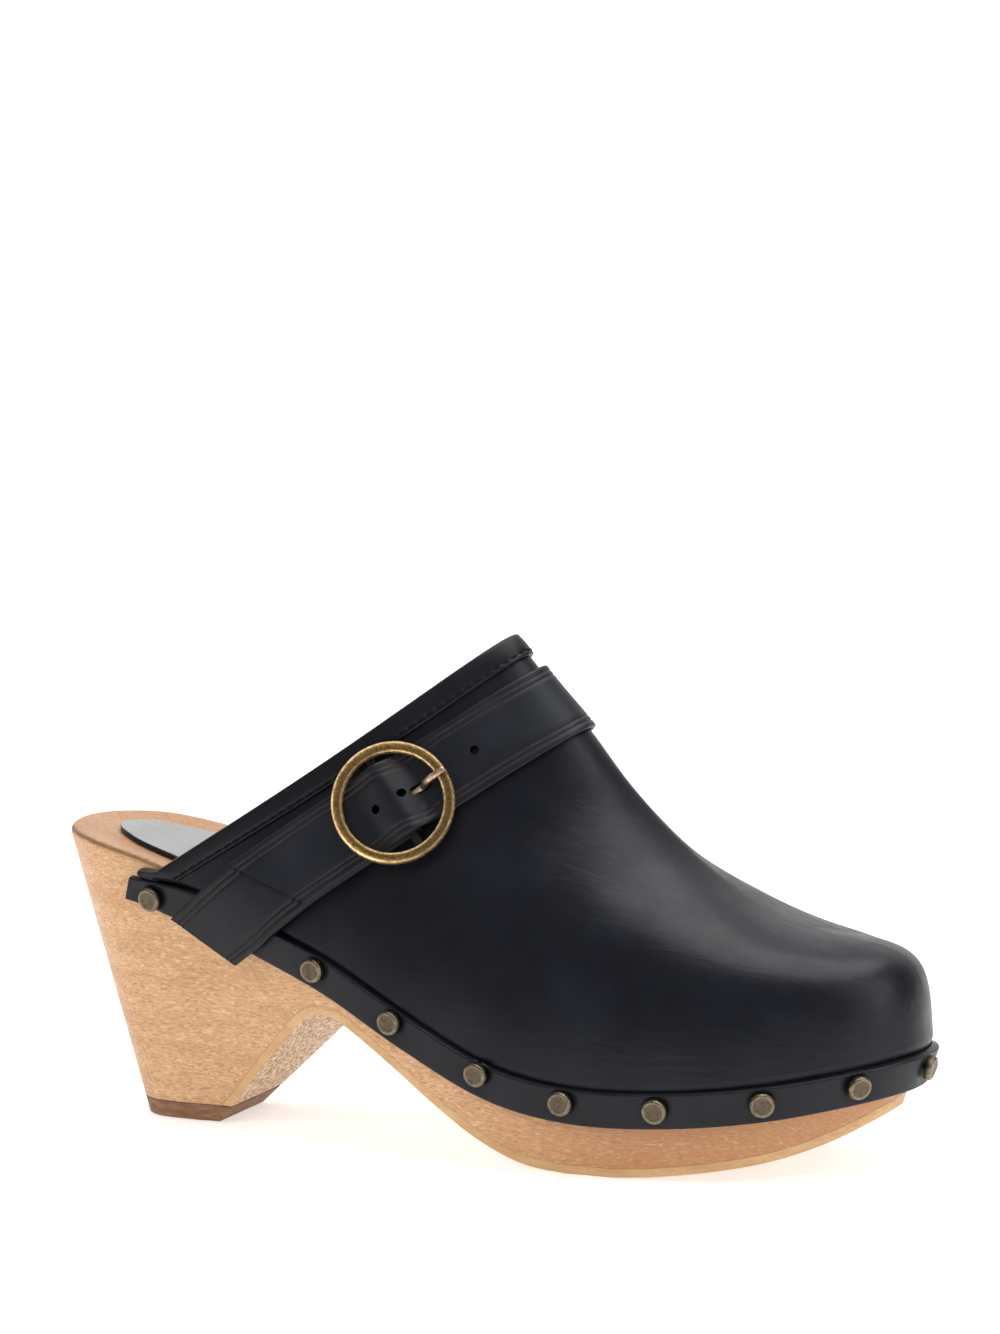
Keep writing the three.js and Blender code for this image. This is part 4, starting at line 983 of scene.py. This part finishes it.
def stitching(name, place, total):
    """Short raised stitches along place(length, aside, up), each a rounded bar of thread."""
    points, faces = [], []
    ring = full_turn(8)
    for k in range(int(total / STITCH_PITCH)):
        start = (k + 0.5) * STITCH_PITCH - STITCH_LENGTH / 2
        for share, size in STITCH_SHAPE:
            base = 0.10 * math.sin(math.pi * share) - 0.02
            length = start + share * STITCH_LENGTH
            lean = 0.16 * (share - 0.5)
            points.append(place(length + 0 * ring, lean + THREAD * size * np.cos(ring),
                                base + THREAD * 0.8 * size * np.sin(ring)))
        first = (len(points) - len(STITCH_SHAPE)) * len(ring)
        faces += [tuple(first + i for i in f) for f in tube_faces(len(STITCH_SHAPE), len(ring))]
    return build(name, np.concatenate(points), faces, thread, "binding_leather", angle=60)


topline_binding()
fine_q = np.linspace(-STITCH_END, STITCH_END, 1000)
stitch_arc = arc_along(fine_q) - arc_along(-STITCH_END)


def on_binding(length, aside, up):
    q = np.interp(length, stitch_arc, fine_q)
    return binding_point(STITCH_LINE + aside / BINDING_WIDTH, GAP + BINDING_THICK - 0.12 + up, q)


stitching("topline_stitches", on_binding, stitch_arc[-1])


# ------------------------------------------------------------------ strap path over the instep
topline_foot = upper(0, -1)
topline_rise = np.array([-math.sin(0.62), 0, math.cos(0.62)])


def strap_bend(q):
    return 1.2 * smooth((np.abs(q) - 0.66) / 0.8)


def rib_at(distance, q):
    """Rib a distance in front of the topline plane."""
    lo, hi = halved(np.shape(q), -0.8, 4.5, 20,
                    lambda m: -((upper(m, q) - topline_foot) @ topline_rise) < distance)
    return (lo + hi) / 2


def on_path(q, shift):
    q = np.asarray(q, float)
    return rib_at(STRAP_OFFSET + shift + strap_bend(q), q)


rand_end = 1 + (float(rand_drop(STRAP_STATION)) + RAND_HEIGHT) / SKIRT
path_end = rand_end + 1
path_q = np.linspace(-path_end, path_end, 241)
path_length = arc_length(upper(on_path(path_q, 0), path_q))
buckle_length = np.interp(BUCKLE_Q, path_q, path_length)


def q_at(along):
    return np.interp(along + buckle_length, path_length, path_q)


def length_at(q):
    return float(np.interp(q, path_q, path_length) - buckle_length)


outer_end, inner_end = length_at(-rand_end), length_at(rand_end)
rand_top = length_at(-(1 + float(rand_drop(STRAP_STATION)) / SKIRT))


def strap_point(along, across, height, rise=0.0):
    """Point over the upper on the strap's path; the rise lifts it over the rand."""
    along, across, height = arrays(along, across, height)
    middle = q_at(along)
    centre = upper(on_path(middle, 0), middle)
    nudge = 0.01
    before, after = middle - nudge, middle + nudge
    ahead = unit(upper(on_path(after, 0), after) - upper(on_path(before, 0), before))
    q = middle.copy()
    for _ in range(4):
        p = upper(on_path(q, -across), q)
        step = ((upper(on_path(q + nudge, -across), q + nudge) - p) * ahead).sum(-1) / nudge
        q = q - ((p - centre) * ahead).sum(-1) / step
    s = on_path(q, -across)
    depth = (np.abs(q) - 1) * SKIRT - rand_drop(spline(RIBS, s)[..., 0])
    return off_upper(s, q, height + rise * smooth((depth + 5.5) / 4))


seat_point = strap_point(0, BUCKLE_ACROSS, 0)
seat_normal = upper_normal(on_path(BUCKLE_Q, 0), BUCKLE_Q)
seat_ahead = strap_point(1, 0, 0) - strap_point(-1, 0, 0)
seat_ahead = unit(seat_ahead - seat_normal * (seat_ahead @ seat_normal))
seat_across = np.cross(seat_normal, seat_ahead)


def local(a, b, h):
    """Point of the buckle: ahead along the strap, across towards the topline, height off the upper."""
    a, b, h = arrays(a, b, h)
    return seat_point + seat_ahead * a[..., None] + seat_across * b[..., None] + seat_normal * h[..., None]


def relaxed(points, along):
    """Leather bridges the kink over the rand: points are averaged with those a little up and down."""
    reach = 9
    before = 2 * points[:1] - points[1:reach + 1][::-1]
    after = 2 * points[-1:] - points[-reach - 1:-1][::-1]
    padded = np.concatenate([before, points, after])
    weights = np.exp(-((np.arange(-reach, reach + 1) / 4.6) ** 2))
    total = sum(w * padded[i:i + len(points)] for i, w in enumerate(weights / weights.sum()))
    share = smooth((np.abs(along) - 13) / 10) * smooth((62 - np.abs(along - 20)) / -12 + 1)
    return mix(points, total, share.reshape(-1, 1, 1))


def strap_at(along, across, height, rise=0.0):
    """The strap lies flat under the buckle and follows the upper away from it."""
    loose = smooth((np.abs(along) - 6) / 6)[..., None]
    return mix(local(along, across - BUCKLE_ACROSS, height), strap_point(along, across, height, rise), loose)


def through(rows, x):
    """Height at x along smooth steps between table rows."""
    rows = np.asarray(rows, float)
    i = np.clip(np.searchsorted(rows[:, 0], x) - 1, 0, len(rows) - 2)
    t = np.clip((x - rows[i, 0]) / (rows[i + 1, 0] - rows[i, 0]), 0, 1)
    return mix(rows[i, 1], rows[i + 1, 1], smooth(t))


rest_height = 0.55 + STRAP_THICK / 2
chape_top = 2.45
tail_height = chape_top + CHAPE_THICK / 2 + GAP + STRAP_THICK / 2
crest = BAR_LIFT + BAR + GAP + CHAPE_THICK + GAP + STRAP_THICK / 2
over_rand = RAND_OUT - UPPER_OUT + 1.75
inner_rise = over_rand - rest_height + STRAP_THICK / 2
outer_rise = over_rand - chape_top + CHAPE_THICK / 2


def ribbon_section(thick):
    """Section of a creased strip: (across, height share) up one face and back along the other."""
    half = STRAP_WIDTH / 2
    top = [(half, 0.0), (half - 0.04, 0.45), (half - 0.16, 0.78), (half - 0.38, 0.96), (half - 0.7, 1.0)]
    for distance in CREASES:
        groove = 0.26 / (thick / 2)
        top += [(half - distance + 0.42, 1.0), (half - distance + 0.2, 1 - 0.35 * groove),
                (half - distance, 1 - groove), (half - distance - 0.2, 1 - 0.35 * groove),
                (half - distance - 0.42, 1.0)]
    inside = half - max(CREASES) - 0.42
    top += [(b, 1.0) for b in np.linspace(inside, 0, 8)[1:]]
    left = [(-b, h) for b, h in top[::-1][1:]]
    face = top + left
    back = [(b, -min(1.0, abs(h) + 0.02) if abs(h) > 0.9 else -h) for b, h in face[1:-1]][::-1]
    return np.array(face + back)


def slanted(along, across):
    """The tail's end is cut on the slant."""
    return along - across * math.tan(math.radians(TAIL_SLANT)) * smooth((-14 - along) / 20)


def strap_piece():
    along = np.concatenate([[TAIL_TIP], stations(TAIL_TIP + 0.3, -15, 1.0), stations(-14.4, 16, 0.6),
                            stations(17, inner_end, 1.0)])
    section = ribbon_section(STRAP_THICK)
    l, b = along[:, None] + 0 * section[:, 0], section[:, 0] + 0 * along[:, None]
    ends = np.minimum(1, 0.8 + np.clip((along - TAIL_TIP) / 0.3, 0, 1) * 0.2)
    heights = [(TAIL_TIP, tail_height + TAIL_CURL), (TAIL_TIP + 9, tail_height), (-8.8, tail_height),
               (0, crest), (8.8, 1.6), (16, rest_height)]
    h = through(heights, along)[:, None] + section[:, 1] * ends[:, None] * STRAP_THICK / 2
    h = h + 0.06 * np.sin(l * 0.9 + b * 0.25) * np.exp(-(((l) / 9) ** 2))
    span = np.stack([l - TAIL_TIP, b], -1)
    l = slanted(l, b)
    points = relaxed(strap_at(l, b, h, np.where(l < 0, outer_rise, inner_rise)), along)
    piece = build("instep_strap", points, tube_faces(len(along), len(section), True), strap_leather,
                  "strap_leather", replaces=["strap"], angle=55, span=span)
    for at in PUNCHED:
        centre = strap_at(np.array(at), np.array(0.0), through(heights, np.array(at)))
        q = q_at(at)
        axis = seat_normal if abs(at) < 8 else upper_normal(on_path(q, 0), q)
        points, faces = lathe([(0, -2.5), (1.15, -2.5), (1.15, 2.5), (0, 2.5)], centre, axis, 20)
        carve(piece, points, faces)
    turn = full_turn(20)
    ahead, aside = 2.9 * squared(np.cos(turn), 0.5), 1.25 * squared(np.sin(turn), 0.5)
    rings = [local(PRONG_HOLE + ahead, aside, h) for h in (0.2, 6.0)]
    carve(piece, np.concatenate(rings), tube_faces(2, 20))
    shade(piece, 50)
    return piece


strap_piece()


# ------------------------------------------------------------------ chape
def chape_line():
    """Middle of the folded strap end in (along, height): over the rand, up to the bar, back below."""
    turn = BAR + GAP + CHAPE_THICK / 2
    leg = [(l, chape_top) for l in stations(outer_end, -10, 1.2)]
    leg += [(l, chape_top + 0.3 * float(smooth((l + 9) / 3))) for l in (-9, -8, -7, -6)]
    angles = np.radians(np.linspace(140, -100, 25))
    loop = [(turn * math.cos(a), BAR_LIFT + turn * math.sin(a)) for a in angles]
    start = np.array(leg[-1])
    bridge = [tuple(mix(start, np.array(loop[0]), t)) for t in (0.33, 0.66)]
    under = [(l, BAR_LIFT - turn) for l in (-2.2, -4, -6, *np.arange(-9, -45, -2.5))]
    return np.array(leg + bridge + loop + under)


def end_slanted(along, across):
    """The chape's nailed end is cut on the slant."""
    return along - (1.8 + 0.43 * across) * smooth((rand_top + 6 - along) / (rand_top + 6 - outer_end))


def chape_piece():
    line = chape_line()
    section = ribbon_section(CHAPE_THICK)
    tangent = unit(np.gradient(line, axis=0))
    normal = np.stack([-tangent[:, 1], tangent[:, 0]], -1)
    t = section[:, 1] * CHAPE_THICK / 2
    l = line[:, :1] + normal[:, :1] * t
    h = line[:, 1:] + normal[:, 1:] * t
    b = section[:, 0] + 0 * l
    run = np.arange(len(line), dtype=float)[:, None]
    points = relaxed(strap_at(end_slanted(l, b), b, h, outer_rise), line[:, 0])
    piece = build("buckle_chape_fold", points, tube_faces(len(line), len(section), True), strap_leather,
                  "strap_leather", replaces=["buckle_chape"], angle=55, span=np.stack([run + 0 * l, b], -1))
    slot = [local(np.array([-6.5, -6.5, 5, 5]), b, np.array([-1, 8, 8, -1.0])) for b in
            (-CHAPE_SLOT / 2, CHAPE_SLOT / 2)]
    carve(piece, np.concatenate(slot), tube_faces(2, 4))
    shade(piece, 50)
    return piece


chape_piece()


# ------------------------------------------------------------------ buckle frame and prong
tilt = math.radians(RING_TILT)
ring_axis = seat_normal * math.cos(tilt) + seat_ahead * math.sin(tilt)
ring_centre = local(0, 0, RING_LIFT)


def ring_profile():
    """Cast ring: rounded rims on both edges of the face with a shallow hollow between them."""
    lo, hi, half = RING_INNER, RING_OUTER, RING_THICK / 2
    profile = [(lo, -half + 0.5), (lo + 0.15, -half + 0.15), (lo + 0.5, -half), (hi - 0.5, -half),
               (hi - 0.15, -half + 0.15), (hi, -half + 0.6), (hi, half - 0.75), (hi - 0.1, half - 0.35)]
    for share in np.linspace(0, 1, 11):
        r = mix(hi - 0.3, lo + 0.25, share)
        crown = mix(half - 0.08, half - 0.42, share)
        profile.append((r, crown - 0.34 * math.sin(math.pi * share) ** 0.8))
    profile += [(lo + 0.06, half - 0.75), (lo, half - 1.05), (lo, -half + 0.5)]
    return profile


def merged(parts):
    """Joins (points, faces, rim) parts into one set."""
    faces, first = [], 0
    for points, part_faces, _ in parts:
        faces += [tuple(first + i for i in face) for face in part_faces]
        first += len(points)
    return np.concatenate([p for p, _, _ in parts]), faces, np.concatenate([rim for _, _, rim in parts])


def buckle_frame():
    """Cast ring with a straight bar across it, carried on two lugs under the ring."""
    profile = np.array(ring_profile())
    points, faces = lathe(profile, ring_centre, ring_axis, 128)
    share = np.clip((profile[:-1, 0] - RING_INNER) / (RING_OUTER - RING_INNER), 0, 1)
    rim = np.where(profile[:-1, 1] > 0, smooth(np.abs(2 * share - 1) * 1.9 - 0.75), 0.35)
    points = points + ring_axis * (0.06 * waves(points, 7.0, 3))[:, None]
    half = RING_INNER + 1.2
    profile = [(0, -half), (BAR - 0.2, -half), (BAR, 0.2 - half), (BAR, half - 0.2), (BAR - 0.2, half),
               (0, half)]
    bar, bar_faces = lathe(profile, local(0, 0, BAR_LIFT), seat_across, 24)
    # the bar and lugs carry the painted-shade share, which paints them near black as shadow
    parts = [(points, faces, np.tile(rim, 128)), (bar, bar_faces, np.full(len(bar), BAR_PAINTED_SHADE))]
    turn = full_turn(16)
    for side in (-1, 1):
        lug = np.concatenate([
            local(1.25 * k * np.cos(turn), side * (RING_INNER + 0.55 + 0.95 * k * np.sin(turn)), h)
            for h, k in ((1.7, 0.7), (1.95, 1), (3.2, 1.05), (4.6, 1), (RING_LIFT, 0.9))])
        parts.append((lug, tube_faces(5, 16), np.full(len(lug), BAR_PAINTED_SHADE)))
    points, faces, rim = merged(parts)
    return build("buckle_ring", points, faces, ring_brass, "antique_brass", "buckle", ["buckle_frame"],
                 40, rim_span(rim))


buckle_frame()


def buckle_prong():
    """The loop round the bar and the tongue that runs from it through the strap and over the ring."""
    bore = BAR + GAP
    profile = [(bore, -1.6), (bore + 0.2, -1.8), (PRONG_LOOP - 0.3, -1.8), (PRONG_LOOP, -1.5),
               (PRONG_LOOP, 1.5), (PRONG_LOOP - 0.3, 1.8), (bore + 0.2, 1.8), (bore, 1.6), (bore, -1.6)]
    loop, loop_faces = lathe(profile, local(0, 0, BAR_LIFT), seat_across, 32)
    line = spline(PRONG_LINE, stations(0, len(PRONG_LINE) - 1, 0.2))
    tangent = unit(np.gradient(line, axis=0))
    turn = full_turn(16)
    share = np.linspace(0, 1, len(line))[:, None]
    size = (1 - 0.04 * share) * np.clip((1.0 - share) / 0.012, 0.7, 1)
    wide = size * PRONG_WIDTH / 2 * squared(np.cos(turn), 0.7)
    tall = size * PRONG_THICK / 2 * squared(np.sin(turn), 0.7)
    tongue = local(line[:, :1] - tangent[:, 1:] * tall, wide, line[:, 1:] + tangent[:, :1] * tall)
    tongue = tongue.reshape(-1, 3)
    crown = np.tile(smooth(np.sin(turn) * 2), len(line))
    points, faces, rim = merged([(loop, loop_faces, np.full(len(loop), 0.4)),
                                 (tongue, tube_faces(len(line), 16), crown)])
    return build("buckle_tongue", points, faces, prong_brass, "antique_brass", "prong", ["buckle_prong"],
                 45, rim_span(rim))


buckle_prong()


# ------------------------------------------------------------------ floor, light and camera
def studio():
    """A pale floor that curves up into a backdrop."""
    profile = [(-2.2, 0), (1.2, 0)] + [(1.2 + 0.8 * math.sin(a), 0.8 - 0.8 * math.cos(a))
                                       for a in np.linspace(0.15, math.pi / 2, 12)] + [(2.0, 3.0)]
    mesh = bpy.data.meshes.new("studio_floor")
    points = [(x, y, z - 0.0002) for x in (-3, 3) for y, z in profile]
    n = len(profile)
    mesh.from_pydata(points, [], [(i, n + i, n + i + 1, i + 1) for i in range(n - 1)])
    mesh.shade_smooth()
    look = Look("studio_paper")
    tone = look.ramp(look.noise(look.place(), 0.01, 2), (0.3, 0.80), (0.7, 0.82))
    mesh.materials.append(look.finish(Base_Color=tone, Roughness=0.9, Emission_Color=(1, 1, 1, 1),
                                      Emission_Strength=0.55))
    piece = add_object("studio_floor", mesh)
    piece.rotation_euler.z = math.radians(VIEW_AZIMUTH)


def area_light(name, place, aim, width, height, watts, shiny=True):
    data = bpy.data.lights.new(name, "AREA")
    data.shape, data.size, data.size_y, data.energy = "RECTANGLE", width, height, watts
    lamp = add_object(name, data)
    lamp.visible_glossy = shiny
    lamp.location = place
    lamp.rotation_euler = (Vector(aim) - Vector(place)).to_track_quat("-Z", "Y").to_euler()


def camera():
    aim = Vector(to_frame(np.array([118.0, 0, 60])))
    a, e = math.radians(VIEW_AZIMUTH), math.radians(VIEW_ELEVATION)
    back = Vector((math.sin(a) * math.cos(e), -math.cos(a) * math.cos(e), math.sin(e)))
    data = bpy.data.cameras.new("camera")
    data.lens, data.sensor_width = 120.1, 36.0
    data.shift_x, data.shift_y = 0.0050, 0.1799
    data.clip_start, data.clip_end = 0.05, 20
    piece = add_object("camera", data)
    piece.location = aim + back * VIEW_DISTANCE
    piece.rotation_mode = "QUATERNION"
    piece.rotation_quaternion = (-back).to_track_quat("-Z", "Y")
    bpy.context.scene.camera = piece


def world():
    made = bpy.data.worlds.new("studio_air")
    bpy.context.scene.world = made
    made.use_nodes = True
    made.node_tree.nodes["Background"].inputs[0].default_value = (1, 1, 1, 1)
    made.node_tree.nodes["Background"].inputs[1].default_value = 0.35


studio()
camera()
world()
area_light("top_softbox", (0.20, 0.10, 1.1), (0.0, 0, 0.05), 1.0, 0.9, 11)
area_light("key_softbox", (-0.55, -1.1, 0.75), (0, 0, 0.05), 0.7, 0.7, 6.2, shiny=False)
area_light("right_strip", (1.0, -0.1, 0.5), (0.05, 0, 0.06), 0.3, 0.9, 3)
bpy.context.scene.view_settings.view_transform = "Standard"
